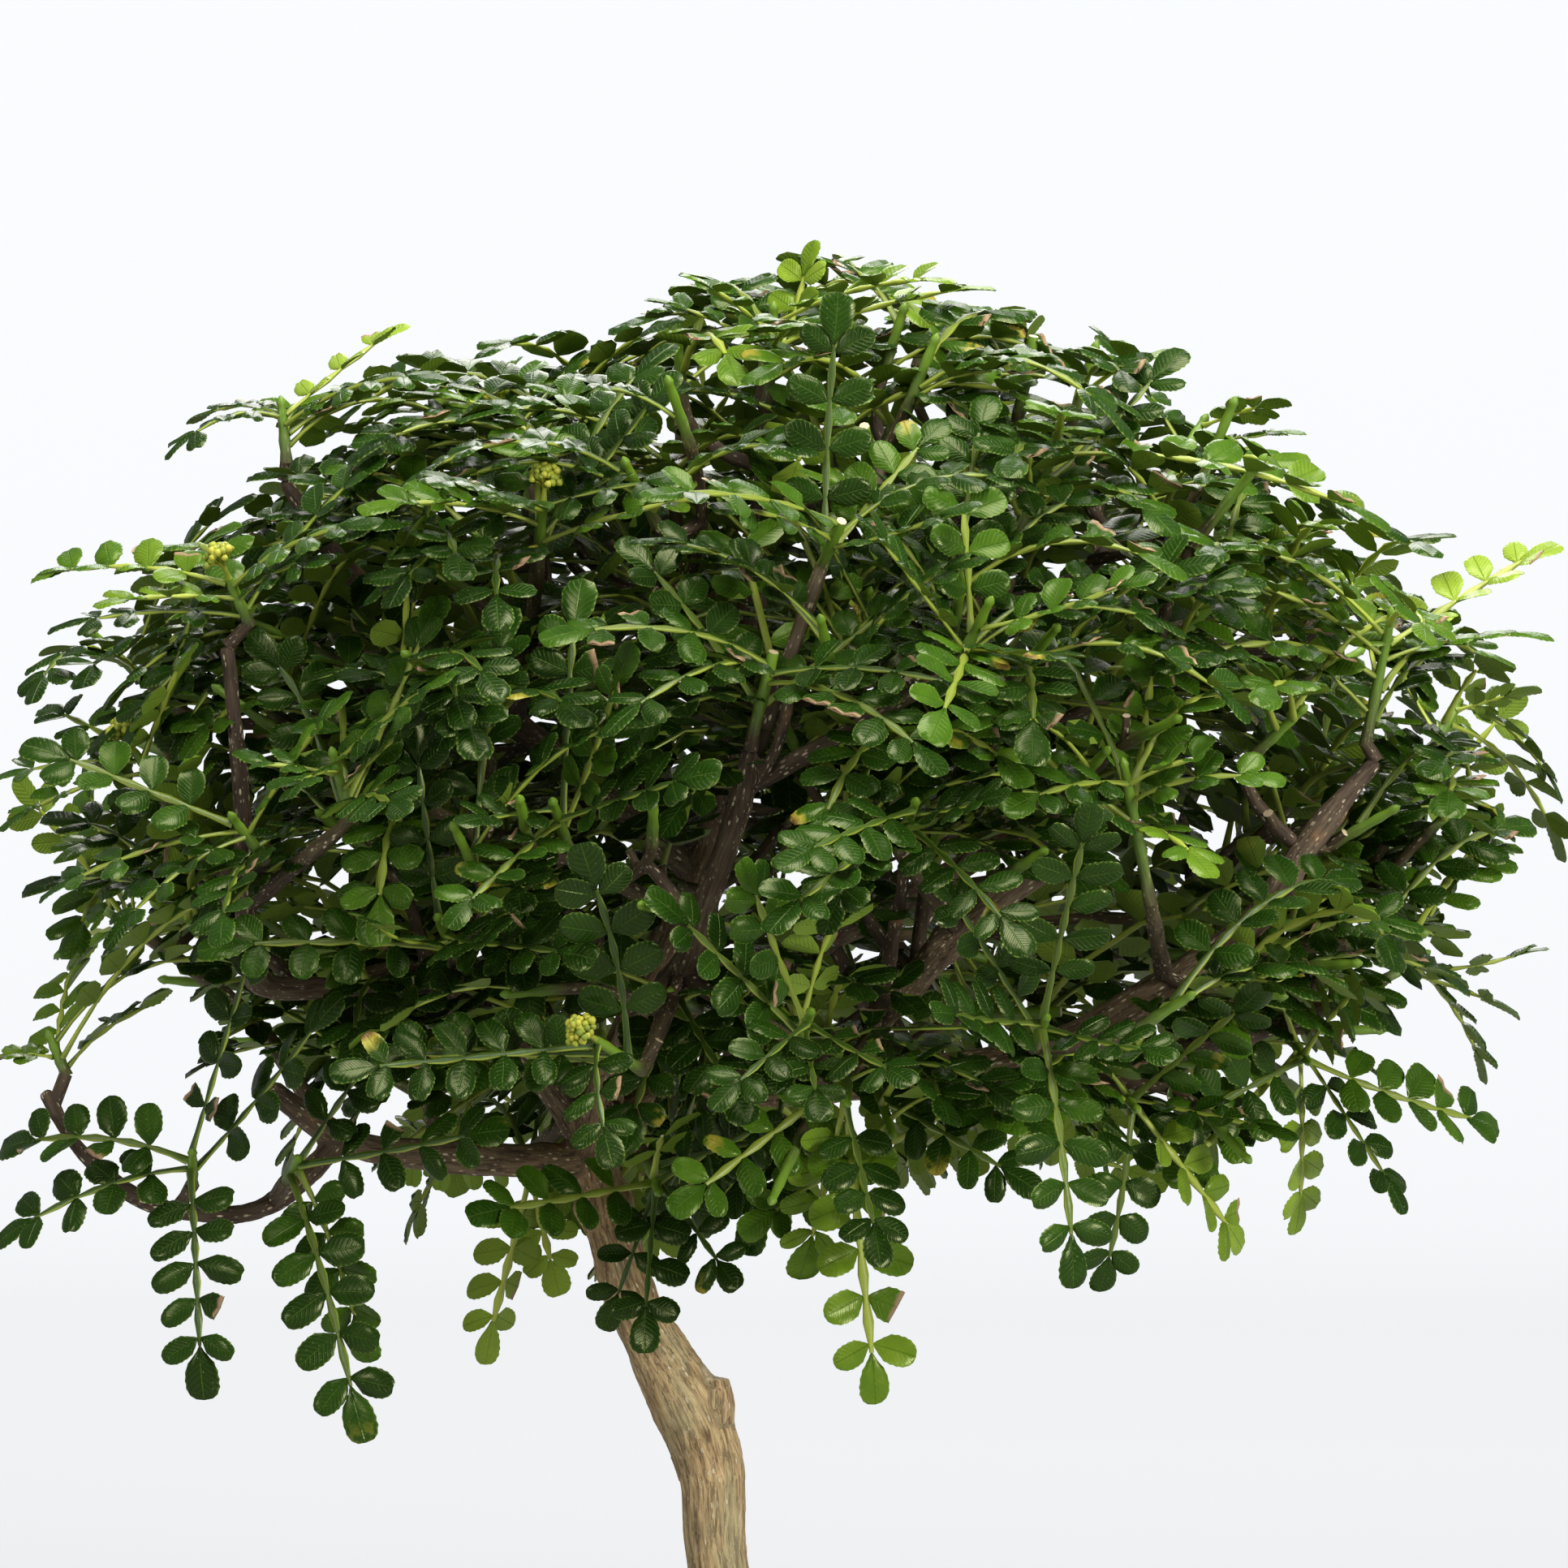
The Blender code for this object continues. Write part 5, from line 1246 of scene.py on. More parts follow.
# where young fronds stand in the front view, and fronds given painted light as if lit through from behind: x, z, how
# far round it they reach, how much lighter
youngAndBacklitPlaces = [
    (-51, 164, 15, 1.2), (-79, 150, 8, 0.8), (2, 163, 10, 1.4), (18, 147, 10, 1.2), (86, 180, 14, 1.5),
    (67, 173, 9, 1.4), (140, 310, 18, 1.2), (114, 306, 12, 0.7), (146, 247, 12, 0.9), (-83, 345, 16, 1.2),
    (5, 371, 9, 1.0), (34, 356, 12, 0.7), (-136, 306, 12, 0.9), (-146, 240, 14, 0.8), (-136, 208, 12, 1.0),
    (-5, 316, 8, 1.1), (-26, 297, 8, 0.6), (106, 323, 10, 1.0), (80, 337, 10, 0.8), (114, 272, 10, 0.8),
    (-62, 213, 12, 0.6), (-110, 296, 10, 0.6), (60, 318, 10, 0.7), (118, 262, 42, 0.35), (92, 318, 34, 0.3),
    (-132, 250, 30, 0.25), (130, 222, 34, 0.3),
]
toneRule = {  # 0 is old and dark, 2 is young and light; it also carries painted light on fronds lit through from behind, and rises higher up and towards the crown's skin
    "ofSpray": 0.34, "addedShare": 0.6, "youngBelow": 195, "youngShares": (0.22, 0.07), "younger": 0.7, "varies": 0.14,
    "lighterAbove": 262, "lighterOver": 112, "atTop": 0.5, "skinFrom": 0.8, "atSkin": 1.2, "darkBehind": 60,
}


def pieceSeed(*parts):
    return sum((k + 1) * 7919 * ord(c) for k, c in enumerate("".join(str(p) for p in parts))) % 1000003


def leafTone(shoot, leaf, rng):
    tip, light = leaf["tip"], toneRule["ofSpray"] * shoot["tone"]
    if leaf.get("added"):
        light = light * toneRule["addedShare"]
    rise = max(0.0, (tip.z - toneRule["lighterAbove"]) / toneRule["lighterOver"]) * toneRule["atTop"]
    rise += max(0.0, crownDepth(tip) - toneRule["skinFrom"]) * toneRule["atSkin"]
    # young fronds, and fronds with painted light shining through them, are made lighter by the table above
    px, pz = picturePlace(tip)
    young = max([0.0] + [extra for x, z, reach, extra in youngAndBacklitPlaces if math.hypot(px - x, pz - z) < reach])
    if tip.y > toneRule["darkBehind"] or leaf.get("added") and rng.random() < 0.5:
        young = 0.0
    if rng.random() < toneRule["youngShares"][tip.z > toneRule["youngBelow"]]:
        young += toneRule["younger"]
    return max(0.0, light + young + rise * rng.uniform(0.0, 0.8) + rng.gauss(0, toneRule["varies"]))


def addShoot(growth, shoot, tone, rng):
    cut = not shoot["buds"] and (shoot["name"] in pruned or rng.random() < 0.1)
    path, radii = [], []
    for share in (0.0, 0.12, 0.22, 0.4, 0.52, 0.64, 0.8, 0.9, 1.0):
        path.append(shoot["foot"].lerp(shoot["tip"], share))
        radii.append((1.18 - (0.12 if cut else 0.35) * share) * (1.0 + 0.1 * sin(9 * share + len(path))))
    if not cut and not shoot["buds"]:  # a closed bud at the growing tip
        path += [shoot["tip"] + shoot["heading"] * step for step in (0.7, 1.5, 2.0)]
        radii += [0.95, 0.6, 0.15]
    ages = [0.24 - 0.2 * min(1, 2 * k / len(path)) for k in range(len(path))]
    growth.stem(path, radii, [cross for _, cross, _ in framesAlong(path)], ages, tone + 0.6, rng.random(), 2, cut)


def gradeOf(leaf):  # the ones inside the crown are plainer
    if not leaf.get("added") or leaf["tip"].z <= frondShape["fineBelow"]:
        return 0
    depth = crownDepth(leaf["start"].lerp(leaf["tip"], 0.6))
    return 2 if depth < frondShape["plainInside"] else 1 if depth < frondShape["middlingInside"] else 0


def makeFoliage():
    pieces, grades = [], [0, 0, 0]
    for spray in sprays:
        growth = Growth()
        for shoot in [spray] + [extra for extra in extraShoots if extra["owner"] is spray]:
            rng = random.Random(pieceSeed(shoot["name"]))
            for k, leaf in enumerate(shoot["leaves"]):
                grade = gradeOf(leaf)
                grades[grade] += 1
                addFrond(growth, leaf, leafTone(shoot, leaf, rng), pieceSeed(shoot["name"], k), grade)
            addShoot(growth, shoot, leafTone(shoot, {"tip": shoot["tip"]}, rng), rng)
        piece = growth.piece("foliage_" + spray["name"], frondTree, frondInputs)
        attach(piece, "root")
        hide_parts("spray_" + spray["name"])
        pieces.append(piece)
    print("bonsai: foliage triangles", triangles(*pieces), "fronds by grade", grades)


makeFoliage()


# the trunk and limbs: round lengths that are joined into one skin, then given bark relief
woodShape = {
    "seed": 27, "voxel": 0.8, "step": 1.8, "smoothing": 4, "triangles": 56000, "sides": 14,
    "swelling": 0.13, "swellLength": 2.4, "nodeEvery": 17.0, "waver": 0.07, "waverPitch": 0.09,
    "relief": 0.34, "furrow": 0.30, "scarWidth": 1.7, "fullReliefFrom": 5.5, "cutFaceDepth": 0.28,
    "rootSeed": 15, "roots": 7, "rootReach": 17.0, "foot": Vector((-11, 0, 0)),
    "knots": [((-16.5, -6.0, 140.7), 2.3, 0.9), ((-9.0, -7.5, 84.0), 1.9, 0.6), ((-20.5, 4.5, 118.0), 2.0, 0.7),
              ((-4.5, 5.0, 101.0), 2.2, 0.7)],
    "stump": [(-17, 0, 137, 4.8), (-14.4, -0.3, 142.0, 5.0), (-13.9, -0.6, 147.0, 4.2), (-14.0, -0.8, 151.4, 3.4)],
}


def smoothRows(rows, step):
    knots, out = [Vector(row) for row in rows], []
    for k in range(len(knots) - 1):
        a, b = knots[k], knots[k + 1]
        before, after = knots[max(k - 1, 0)], knots[min(k + 2, len(knots) - 1)]
        count = max(1, round((b - a).length / step))
        for i in range(count):
            t = i / count
            out.append(0.5 * (2 * a + (b - before) * t + (2 * before - 5 * a + 4 * b - after) * t * t
                              + (3 * a - before - 3 * b + after) * t ** 3))
    return out + [knots[-1]]


def rootRows():
    rng, made, foot = random.Random(woodShape["rootSeed"]), [], woodShape["foot"]
    for k in range(woodShape["roots"]):
        angle = tau * (k + rng.uniform(-0.25, 0.25)) / woodShape["roots"]
        out, reach = Vector((cos(angle), sin(angle), 0)), woodShape["rootReach"] * rng.uniform(0.75, 1.15)
        thick = rng.uniform(2.8, 4.0)
        made.append([(*(foot + out * away + up * height), thick * share) for away, height, share in (
            (3.0, 68, 0.9), (7.0, 61, 1), (11.5, 56.2, 0.8), (reach, 54.0, 0.5), (reach + 4, 50.5, 0.35))])
    return made


def woodSkeleton():
    rng, bones, shapes, scars = random.Random(woodShape["seed"]), [], [], []
    limbs = {**limbRows, "stub": woodShape["stump"]}
    allRows = [(name, rows, name == "stub") for name, rows in limbs.items()]
    allRows += [(name, rows, True) for name, rows in cutStubRows.items()]
    allRows += [("root", rows, False) for rows in rootRows()]
    for name, rows, cut in allRows:
        line = smoothRows(rows, woodShape["step"])
        offset, along = rng.uniform(0, 400), 0.0
        nodes = [rng.uniform(0.6, 1.2) * woodShape["nodeEvery"] * (k + 0.6) for k in range(16)]
        path, radii = [], []
        for k, row in enumerate(line):
            along += (row.xyz - line[k - 1].xyz).length if k else 0.0
            swell = sum(math.exp(-((along - at) / woodShape["swellLength"]) ** 2) for at in nodes) if row.w < 5 else 0.0
            wave = noise.noise(Vector((offset, along * woodShape["waverPitch"], 0)))
            radii.append(row.w * (1 + woodShape["swelling"] * swell + woodShape["waver"] * wave))
            side = Vector((*(noise.noise(Vector((along * 0.07, offset, seed))) for seed in (3, 7)), 0))
            path.append(row.xyz + side * min(1.0, row.w * 0.3) * min(1.0, along / 10))
        shapes.append(tubeSkin(path, radii, woodShape["sides"]))
        frames, along = framesAlong(path), offset
        for k, (point, radius) in enumerate(zip(path, radii)):
            along += (point - path[k - 1]).length if k else 0.0
            age = 0.95 if name in ("root", "stub") else min(1.0, max(0.42, 0.42 + (line[k].w - 1.4) * 0.13))
            bones.append((point, frames[k], radius, along, age, path[-1] if cut else None))
        for at in nodes:
            if name in ("trunk", "root", "stub") or at > along - offset - 2:
                continue
            k = min(range(len(path)), key=lambda i: abs(sum((path[j + 1] - path[j]).length for j in range(i)) - at))
            scars.append(path[k] + turned(*frames[k][1:], rng.uniform(0, tau)) * radii[k])
    return shapes, bones, scars


def nearTree(points):
    tree = KDTree(len(points))
    for index, point in enumerate(points):
        tree.insert(point, index)
    tree.balance()
    return tree


def nearestBone(tree, bones, point):
    near = [(distance - bones[index][2], index) for _, index, distance in tree.find_n(point, 7)]
    return bones[min(near, key=lambda row: row[0])[1]]


def barkRelief(point, bone):
    centre, (_, across, rise), radius, along, *_ = bone
    way = point - centre
    x, y = way.dot(across), way.dot(rise)
    ridges = noise.fractal(Vector((x * 0.75, y * 0.75, along * 0.13)), 0.7, 2.1, 4)
    lumps = noise.noise(Vector((x * 0.3, y * 0.3, along * 0.16 + 9)))
    furrow = min(0.0, noise.noise(Vector((x * 0.9, y * 0.9, along * 0.1 + 31))) + 0.12)
    push = woodShape["relief"] * (ridges * 0.6 + lumps * 0.9) + woodShape["furrow"] * furrow * 2.0
    push *= min(1.0, radius / woodShape["fullReliefFrom"])
    for place, width, height in woodShape["knots"]:
        away = (point - Vector(place)).length
        if away < width * 3:
            push += height * (math.exp(-((away - width) / 0.8) ** 2) - 0.8 * math.exp(-(away / (width * 0.55)) ** 2))
    return push


def makeLimbs():
    shapes, bones, scars = woodSkeleton()
    tree, scarTree = nearTree([bone[0] for bone in bones]), nearTree(scars)
    piece = joinedSkins("limbs", shapes)
    settle(piece, "REMESH", mode="VOXEL", voxel_size=woodShape["voxel"] * mm, use_smooth_shade=True)
    settle(piece, "SMOOTH", factor=0.5, iterations=woodShape["smoothing"])
    for vertex in baked(piece).data.vertices:
        point = vertex.co / mm
        bone = nearestBone(tree, bones, point)
        across = point - bone[0]
        across -= bone[1][0] * across.dot(bone[1][0])
        vertex.co += across.normalized() * barkRelief(point, bone) * mm
    before = len(piece.data.polygons) * 2
    settle(piece, "DECIMATE", ratio=min(1.0, woodShape["triangles"] / before), use_collapse_triangulate=True)
    mesh, rows, around = baked(piece).data, [], []
    for vertex in mesh.vertices:
        point = vertex.co / mm
        centre, (way, across, rise), radius, along, age, end = nearestBone(tree, bones, point)
        off = point - centre
        x, y = off.dot(across), off.dot(rise)
        length = math.hypot(x, y) or 1.0
        around += [x / length, y / length, 0.0]
        cutEnd = 1.0 if end and (point - end).dot(way) > -woodShape["cutFaceDepth"] else 0.0
        scar = max(0.0, 1 - scarTree.find(point)[2] / woodShape["scarWidth"])
        rows.append((age, along + off.dot(way), radius * mm, cutEnd, scar))
    for label, column in zip(("age", "alongStem", "thick", "cutEnd", "scar"), zip(*rows)):
        giveAttribute(mesh, label, column)
    giveAttribute(mesh, "aroundStem", around, "FLOAT_VECTOR")
    mesh.shade_smooth()
    onlyMaterial(mesh, barkMaterial)
    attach(piece, "root")
    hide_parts("wood")
    print("bonsai: limbs", before, "triangles before thinning,", len(mesh.polygons), "after")


twigShape = {"seed": 91, "step": 5.0, "thinnest": 1.12, "spurShare": 0.5, "spurs": (2.5, 6.0), "sides": 7}


def makeTwigs():
    growth, rng = Growth(), random.Random(twigShape["seed"])
    for shoot in sprays + extraShoots:
        line = smoothRows(shoot["twig"], twigShape["step"])
        path = [row.xyz for row in line[:-1]] + [shoot["foot"] + shoot["heading"] * 0.5]
        radii = [max(row.w, twigShape["thinnest"]) * (1 + 0.09 * sin(1.7 * k + len(line)))
                 for k, row in enumerate(line)]
        ages = [0.46 - 0.2 * k / len(path) for k in range(len(path))]
        growth.stem(path, radii, [cross for _, cross, _ in framesAlong(path)], ages, 0.4, rng.random(), 2)
        if len(path) > 3 and rng.random() < twigShape["spurShare"]:  # a pruned spur on many of them
            k = rng.randrange(1, len(path) - 1)
            side = jitter(rng, 1).normalized() + up * 0.3 + shoot["heading"] * 0.6
            reach = rng.uniform(*twigShape["spurs"])
            spur = [path[k], path[k] + side.normalized() * reach * 0.5, path[k] + side.normalized() * reach]
            growth.stem(spur, [radii[k] * share for share in (0.9, 0.7, 0.68)], [side.orthogonal()] * 3,
                        [0.4, 0.34, 0.34], 0.4, rng.random(), 2, True)
    piece = growth.piece("twigs", frondTree, {**frondInputs, "Stem sides": twigShape["sides"]})
    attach(piece, "root")
    print("bonsai: twig triangles", triangles(piece))


makeLimbs()
makeTwigs()


# flower bud heads: small globes on branching stalks
budShape = {
    "count": 34, "globe": 0.82, "spread": 2.6, "stalk": 0.16, "stalkSides": 5, "roughness": 0.5, "bump": 0.0002,
    "yellows": [(0.1, (0.13, 0.20, 0.020)), (0.5, (0.34, 0.38, 0.030)), (0.95, (0.62, 0.56, 0.060))],
    "rings": ((-0.55, 0.86), (0.1, 1.0), (0.66, 0.74)), "lobe": 0.86,
}


def makeGlobe(name):
    mesh, points, faces = bpy.data.meshes.new(name), [(0, 0, -1.0)], []
    for z, radius in budShape["rings"]:
        for k in range(6):
            lobed = radius * (1.0 if k % 2 else budShape["lobe"])
            points.append((lobed * cos(tau * k / 6), lobed * sin(tau * k / 6), z))
    for k in range(6):
        after = (k + 1) % 6
        faces += [(0, 1 + after, 1 + k), *((ring + k, ring + after, ring + 6 + after, ring + 6 + k) for ring in (1, 7)),
                  (13 + k, 13 + after, 19)]
    mesh.from_pydata(points + [(0, 0, 0.78)], [], faces)
    mesh.shade_smooth()
    return bpy.data.objects.new(name, mesh)


def budBuilder():
    tree, given, out = newTree("GeometryNodeTree", "budBuilder", {
        "Growth": ["Geometry"], "Globe shape": ["Object"], "Globe radius": ["Float", 0.0008],
        "Stalk sides": ["Int", budShape["stalkSides"]], "Bud material": ["Material"]}, {"Bud head": ["Geometry"]})
    shape = wire(tree, "GeometryNodeObjectInfo", {"Object": given["Globe shape"]}, "Geometry")
    globes = placedOn(parted(given["Growth"], 0), shape, given["Globe radius"])
    stalks = sweptStems(parted(given["Growth"], 2), given["Stalk sides"], 1.0, "bud stalk")
    feed(out, {"Bud head": painted(realized(joined(globes, stalks)), given["Bud material"])})
    return tree


def budSkin():
    material, tree, shader = newMaterial("budYellow")
    patches = noisy(objectPlace(tree), 900.0, 3.0)
    feed(shader, {
        "Base Color": ramp(named(tree, "ownSeed") * 0.7 + patches * 0.4, budShape["yellows"]),
        "Roughness": budShape["roughness"], "Normal": bump(patches, budShape["bump"], 0.6)})
    return material


def makeBuds():
    globe, tree, material, pieces = makeGlobe("budGlobe"), budBuilder(), budSkin(), []
    for spray in sprays:
        if not spray["buds"]:
            continue
        rng, growth = random.Random(pieceSeed("buds", spray["name"])), Growth()
        heading, root = spray["heading"], spray["tip"] - spray["heading"] * 0.4
        across, rise = framesAlong([root, spray["tip"] + heading])[0][1:]
        stem = [root, spray["tip"] + heading * 1.6, spray["tip"] + heading * 3.6]
        growth.stem(stem, [0.75, 0.5, 0.3], [across] * 3, [0.1] * 3, 1.5, 0.2, 2)
        for k in range(budShape["count"]):
            share = (k + 0.5) / budShape["count"]
            out = turned(across, rise, golden * k) * budShape["spread"] * math.sqrt(share)
            spot = stem[1] + heading * (3.4 + 0.9 * (1 - share) + rng.uniform(-0.9, 0.9)) + out * rng.uniform(0.8, 1.1)
            low = stem[1] + heading * rng.uniform(0.2, 1.6)
            fork = low.lerp(spot, 0.55) + heading * 0.25
            growth.stem([low, fork, spot], [0.26, budShape["stalk"], budShape["stalk"]], [across] * 3, [0.05] * 3, 2.0,
                        rng.random(), 2)
            way, size = (spot - fork).normalized(), rng.uniform(0.72, 1.1)
            growth.add(spot + way * 0.3, way.to_track_quat("Z", "Y"), (size,) * 3, 0,
                       (1.0, rng.random(), 0.0, 0.0, 0.0, 0, 0.0))
        piece = growth.piece("budHead_" + spray["name"], tree, {
            "Globe shape": globe, "Globe radius": budShape["globe"] * mm, "Bud material": material})
        onlyMaterial(piece.data, material)
        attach(piece, "root")
        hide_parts("buds_" + spray["name"])
        pieces.append(piece)
    print("bonsai: bud triangles", triangles(*pieces))


makeBuds()


# the pot: rings of a rounded rectangle, with softened edges, a cove under the lip and two incised lines
potShape = {
    "deeper": 45.0,  # how much longer than deep
    "rings": [  # length, height, corner radius
        (140, 6.0, 12), (168.5, 6.0, 19), (170.6, 6.3, 19.6), (172.1, 7.4, 20), (175.2, 16, 21.2), (178.4, 26, 22.4),
        (181.2, 36, 23.2), (182.6, 41.4, 23.6), (182.2, 41.8, 23.4), (181.9, 42.4, 23.3), (182.3, 43.0, 23.5),
        (182.9, 43.4, 23.7), (183.2, 44.6, 23.8), (182.7, 45.0, 23.6), (182.4, 45.6, 23.5), (182.8, 46.2, 23.7),
        (183.5, 46.6, 23.9), (184.0, 49.0, 24), (184.6, 49.9, 24.2), (186.2, 50.5, 24.8), (188.4, 50.9, 25.4),
        (189.6, 51.5, 25.8), (190.0, 52.6, 26), (190.0, 55.4, 26), (189.6, 56.8, 25.8), (188.5, 57.7, 25.3),
        (186.8, 58.0, 24.6), (176.6, 58.0, 20.6), (174.8, 57.7, 20.1), (173.4, 57.0, 19.5), (172.6, 55.6, 19.1),
        (170.0, 48, 18.6), (164.6, 28, 17.6), (161.2, 15.2, 17.1), (158.6, 12.6, 16.6), (154.0, 12.0, 15)],
    "lastRing": (120.0, 80.0, 12.0, 10), "steps": (9, 10, 7),  # of a corner, a long side and a short side
    "footSize": (34.0, 22.0, 8.0), "footCentre": (65.0, 48.5), "footCorner": 5.0, "footSteps": (5, 1, 1),
    "footRings": ((1.6, 0.0), (0.5, 0.35), (0.0, 1.4), (-0.4, 8.0)),  # how far in, and height
    "drainRadius": 7.0, "drainAt": 45.0, "drainTop": 16, "drainSides": 40, "sharpFrom": 50,
}
clayFinish = {
    "clay": ((0.085, 0.042, 0.026), (0.175, 0.088, 0.052)), "fine": ((0.62, 0.6, 0.58), (1.25, 1.22, 1.2)),
    "grit": (0.36, 0.25, 0.17), "iron": (0.020, 0.012, 0.010), "bloom": (0.42, 0.36, 0.30),
    "roughness": (0.48, 0.68), "bump": 0.00035,
}


def roundedRing(length, depth, height, corner, steps=potShape["steps"]):
    points, (cornerSteps, *sideSteps) = [], steps

    def cornerPoint(turn, k):
        sx, sy = ((1, 1), (-1, 1), (-1, -1), (1, -1))[turn % 4]
        angle = pi / 2 * (turn + k / cornerSteps)
        x, y = sx * (length / 2 - corner) + corner * cos(angle), sy * (depth / 2 - corner) + corner * sin(angle)
        return Vector((x, y, height))

    for turn in range(4):
        points += [cornerPoint(turn, k) for k in range(cornerSteps + 1)]
        start, end, count = points[-1], cornerPoint(turn + 1, 0), sideSteps[turn % 2]
        points += [start.lerp(end, k / count) for k in range(1, count)]
    return points


def claySkin():
    material, tree, shader = newMaterial("unglazedClay")
    tint, place = clayFinish, objectPlace(tree)
    colour, broad = mottled(place, 34.0, 0.8, tint["clay"])
    speckle, fine = mottled(place, 420.0, 0.66, tint["fine"])
    milli = place.vector("SCALE", 1000.0, "Scale")
    grit, iron = dotted(milli, 3.4, 0.16, 0.4), dotted(milli, 5.1, 0.15, 0.5)
    colour = mixed(grit * 0.5, mixed(1.0, colour, speckle, "MULTIPLY"), tint["grit"])
    colour = mixed(iron * 0.7, colour, tint["iron"])
    # drag lines from the smoothing tool run round the wall, and mineral bloom shows near the foot and the lip
    drag = noisy(place.vector("MULTIPLY", (14.0, 14.0, 900.0)), 1.0, 4.0)
    level = place.split()[2]
    low = level.spread(0.004, 0.022, 1.0, 0.0) * broad.spread(0.3, 0.8)
    bloom = low.atLeast(level.spread(0.053, 0.0578) * fine.spread(0.2, 0.8))
    feed(shader, {
        "Base Color": mixed(bloom * 0.32, colour, tint["bloom"]),
        "Roughness": fine.spread(0.2, 0.8, *tint["roughness"]),
        "Normal": bump(fine * 0.5 + drag * 0.6 + grit * 0.35, tint["bump"], 0.7)})
    return material


def makePot():
    rings = [(length, length - potShape["deeper"], height, corner) for length, height, corner in potShape["rings"]]
    shell = joinedSkins("pot_clay", [loft([roundedRing(*ring) for ring in rings + [potShape["lastRing"]]])])
    (long, deep, _), (footX, footY) = potShape["footSize"], potShape["footCentre"]
    feet, corner = [], potShape["footCorner"]
    for sx, sy in ((1, 1), (1, -1), (-1, 1), (-1, -1)):
        centre = Vector((sx * footX, sy * footY, 0))
        feet.append(loft([[p + centre for p in roundedRing(
            long - 2 * inset, deep - 2 * inset, height, corner - inset, potShape["footSteps"])]
            for inset, height in potShape["footRings"]]))
    cutter = joinedSkins("drainCutter", [
        limbSkin([(x, 0, z, potShape["drainRadius"]) for z in (0, potShape["drainTop"])], potShape["drainSides"])
        for x in (potShape["drainAt"], -potShape["drainAt"])])
    settle(shell, "BOOLEAN", operation="DIFFERENCE", object=cutter, solver="EXACT")
    base, mesh = joinedSkins("feet", feet), bmesh.new()
    mesh.from_mesh(baked(shell).data)
    mesh.from_mesh(base.data)
    bmesh.ops.recalc_face_normals(mesh, faces=mesh.faces)
    mesh.to_mesh(shell.data)
    mesh.free()
    bpy.data.objects.remove(cutter)
    bpy.data.objects.remove(base)
    shell.data.shade_smooth()
    shell.data.set_sharp_from_angle(angle=math.radians(potShape["sharpFrom"]))
    onlyMaterial(shell.data, claySkin())
    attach(shell, "root")
    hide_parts("pot")
    print("bonsai: pot triangles", triangles(shell))


makePot()


# soil: a low mound with grains and cushions of moss strewn over it by Geometry Nodes
soilShape = {
    "edge": (171.4, 126.4, 18.6), "edgeTop": 51.4, "mound": 56.2, "bottom": 12.4, "floorEdge": (159.0, 114.0, 16.5),
    "rings": 24, "grains": 2300, "grainSize": 1.5, "mossTufts": 2600, "tuftSize": 1.5, "seed": 33,
    "area": 0.19 * 0.12, "kinds": 4,
}
soilFinish = {
    "earth": ((0.020, 0.013, 0.009), (0.080, 0.052, 0.034)), "fine": ((0.6, 0.6, 0.6), (1.3, 1.3, 1.3)),
    "grains": [(0.0, (0.035, 0.022, 0.015)), (0.4, (0.110, 0.062, 0.035)), (0.75, (0.200, 0.125, 0.070)),
               (0.92, (0.055, 0.050, 0.046)), (1.0, (0.300, 0.270, 0.230))],
    "stain": (0.035, 0.060, 0.014), "bump": 0.0006, "moss": ((0.026, 0.060, 0.010), (0.105, 0.150, 0.022)),
    "tufts": [(0.0, (0.7, 0.7, 0.7)), (0.8, (1.2, 1.2, 1.1)), (1.0, (1.7, 1.5, 0.9))],
}


def soilHeight(x, y, share):
    top = soilShape["mound"] + (soilShape["edgeTop"] - soilShape["mound"]) * share ** 2.2
    rough = noise.fractal(Vector((x * 0.06, y * 0.06, 2)), 0.8, 2.0, 4)
    return top + rough * 0.9 * (1 - 0.7 * share ** 6)


def mossShare(x, y):
    patch = noise.noise(Vector((x * 0.030 + 4, y * 0.036, 5))) + 0.5 * noise.noise(Vector((x * 0.11, y * 0.11, 8)))
    return min(1.0, max(0.0, (patch + 0.10) * 4.0))


def soilSurface():
    (long, deep, corner), foot = soilShape["edge"], woodShape["foot"]
    floorLong, floorDeep, floorCorner = soilShape["floorEdge"]
    outer = roundedRing(long, deep, 0, corner)
    rings = [roundedRing(floorLong, floorDeep, soilShape["bottom"], floorCorner),
             [p + up * (soilShape["edgeTop"] - 1.4) for p in roundedRing(long - 1.2, deep - 1.2, 0, corner)]]
    cover = [0.0] * (2 * len(outer))
    for r in range(soilShape["rings"]):
        share, ring = 1 - r / soilShape["rings"], []
        for p in outer:
            x, y, _ = foot + (p - foot) * share
            raised = mossShare(x, y)
            ring.append(Vector((x, y, soilHeight(x, y, share) + raised * 0.5 * (1 - share ** 8))))
            cover.append(raised)
        rings.append(ring)
    return rings, cover


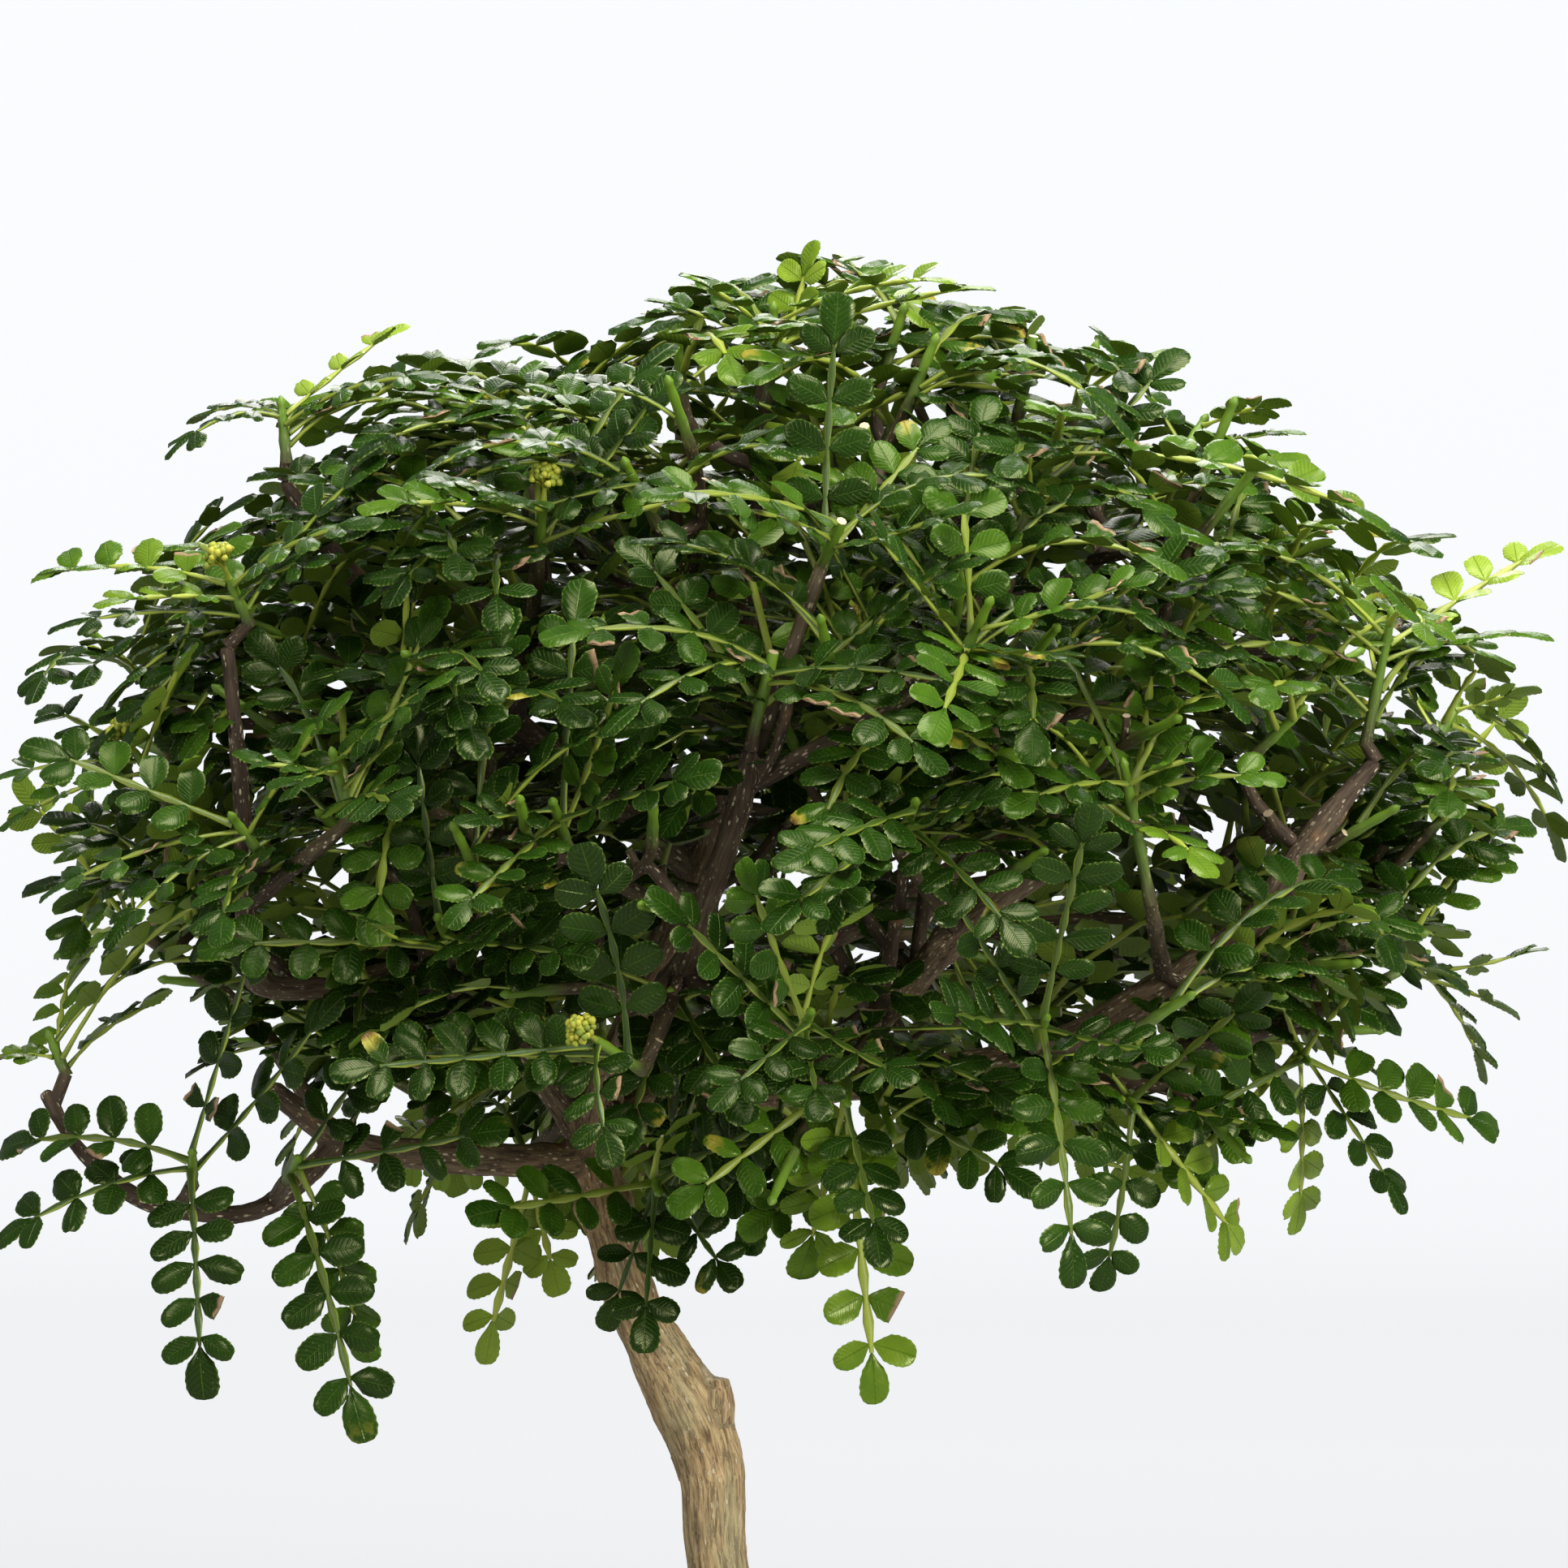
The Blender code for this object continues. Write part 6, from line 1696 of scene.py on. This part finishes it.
def soilBuilder():
    tree, given, out = newTree("GeometryNodeTree", "soilBuilder", {
        "Soil": ["Geometry"], "Grain shapes": ["Collection"], "Tuft shapes": ["Collection"],
        "Grains per area": ["Float", 1.0], "Tufts per area": ["Float", 1.0], "Grain size": ["Float", 0.0015],
        "Tuft size": ["Float", 0.0015], "Seed": ["Int", 1],
        "Soil material": ["Material"], "Moss material": ["Material"],
    }, {"Dressed soil": ["Geometry"]})
    soil, moss = given["Soil"], field(tree, "mossShare", "FLOAT")
    onTop = wire(tree, "GeometryNodeInputNormal").split()[2] > 0.6

    def drawn(kind, output, low, high):
        key = {"FLOAT_VECTOR": 0, "FLOAT": 2, "INT": 4}[kind]
        inputs = {key: low, key + 1: high, "Seed": given["Seed"]}
        return wire(tree, "FunctionNodeRandomValue", inputs, output, data_type=kind)

    layers = [painted(soil, given["Soil material"])]
    kinds = ((1.0 - moss, "Grain", 1.0, "Soil material"), (moss, "Tuft", 0.25, "Moss material"))
    for share, label, tilt, material in kinds:
        strewn = wire(tree, "GeometryNodeDistributePointsOnFaces", {
            "Mesh": soil, "Density": share * onTop * given[f"{label}s per area"], "Seed": given["Seed"]},
            distribute_method="RANDOM")
        placed = wire(tree, "GeometryNodeInstanceOnPoints", {
            "Points": strewn, "Instance": childrenOf(given[f"{label} shapes"]), "Pick Instance": True,
            "Instance Index": drawn("INT", 2, 0, soilShape["kinds"] - 1),
            "Rotation": drawn("FLOAT_VECTOR", 0, (-tilt, -tilt, 0.0), (tilt, tilt, tau)),
            "Scale": drawn("FLOAT", 1, 0.5, 1.35) * given[f"{label} size"]})
        placed = wire(tree, "GeometryNodeStoreNamedAttribute", {
            "Geometry": placed, "Name": "ownSeed", "Value": drawn("FLOAT", 1, 0.0, 1.0)},
            data_type="FLOAT", domain="INSTANCE")
        layers.append(painted(realized(placed), given[material]))
    feed(out, {"Dressed soil": joined(*layers)})
    return tree


def shapeSet(name, seed, fill):
    rng, shapes = random.Random(seed), bpy.data.collections.new(name + "Set")
    for k in range(soilShape["kinds"]):
        data, mesh = bpy.data.meshes.new(f"{name}{k}"), bmesh.new()
        fill(rng, mesh)
        mesh.to_mesh(data)
        mesh.free()
        shapes.objects.link(bpy.data.objects.new(f"{name}{k}", data))
    return shapes


def grain(rng, mesh):
    bmesh.ops.create_icosphere(mesh, subdivisions=1, radius=1.0)
    for vertex in mesh.verts:
        vertex.co *= rng.uniform(0.72, 1.12)
        vertex.co.z *= 0.8


def tuft(rng, mesh):  # a few pointed leaves of moss, each a closed three-sided spike
    for blade in range(5):
        turn = tau * (blade + rng.uniform(-0.2, 0.2)) / 5
        out = Vector((cos(turn), sin(turn), 0))
        side = out.cross(up)
        lean = rng.uniform(0.35, 1.0) if blade else 0.1
        corners = [p - up * 0.25 for p in (out * 0.1 + side * 0.2, out * 0.1 - side * 0.2, -out * 0.2)]
        a, b, c, d = (mesh.verts.new(p) for p in (*corners, out * lean + up * rng.uniform(0.9, 1.5)))
        for face in ((a, c, b), (a, b, d), (b, c, d), (c, a, d)):
            mesh.faces.new(face)
    bmesh.ops.recalc_face_normals(mesh, faces=mesh.faces)


def soilSkin():
    material, tree, shader = newMaterial("soilGrit")
    tint, place, own = soilFinish, objectPlace(tree), named(tree, "ownSeed")
    earth, broad = mottled(place, 160.0, 0.5, tint["earth"])
    speckle, fine = mottled(place, 900.0, 0.6, tint["fine"])
    strewn = own > 0.0001
    colour = mixed(1.0, mixed(strewn, earth, ramp(own, tint["grains"])), speckle, "MULTIPLY")
    moss = named(tree, "mossShare") * (1.0 - strewn)
    feed(shader, {
        "Base Color": mixed(moss * 0.8, colour, tint["stain"]), "Roughness": fine.spread(0.2, 0.8, 0.78, 0.96),
        "Normal": bump(broad + fine, tint["bump"], 0.8)})
    return material


def mossSkin():
    material, tree, shader = newMaterial("mossGreen")
    green, value = mottled(objectPlace(tree), 70.0, 0.5, soilFinish["moss"])
    own = ramp(named(tree, "ownSeed"), soilFinish["tufts"])
    feed(shader, {"Base Color": mixed(1.0, green, own, "MULTIPLY"), "Roughness": value.spread(0.2, 0.8, 0.7, 0.9)})
    return material


def makeSoil():
    rings, cover = soilSurface()
    piece = joinedSkins("soilSurface", [loft(rings)])
    giveAttribute(piece.data, "mossShare", cover)
    piece.data.shade_smooth()
    grownThrough(piece, soilBuilder(), {
        "Grain shapes": shapeSet("grain", 4, grain), "Tuft shapes": shapeSet("tuft", 6, tuft),
        "Grains per area": soilShape["grains"] / soilShape["area"], "Seed": soilShape["seed"],
        "Tufts per area": soilShape["mossTufts"] / soilShape["area"], "Grain size": soilShape["grainSize"] * mm,
        "Tuft size": soilShape["tuftSize"] * mm, "Soil material": soilSkin(), "Moss material": mossSkin()})
    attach(piece, "root")
    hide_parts("soil")
    print("bonsai: soil triangles", triangles(piece))


makeSoil()
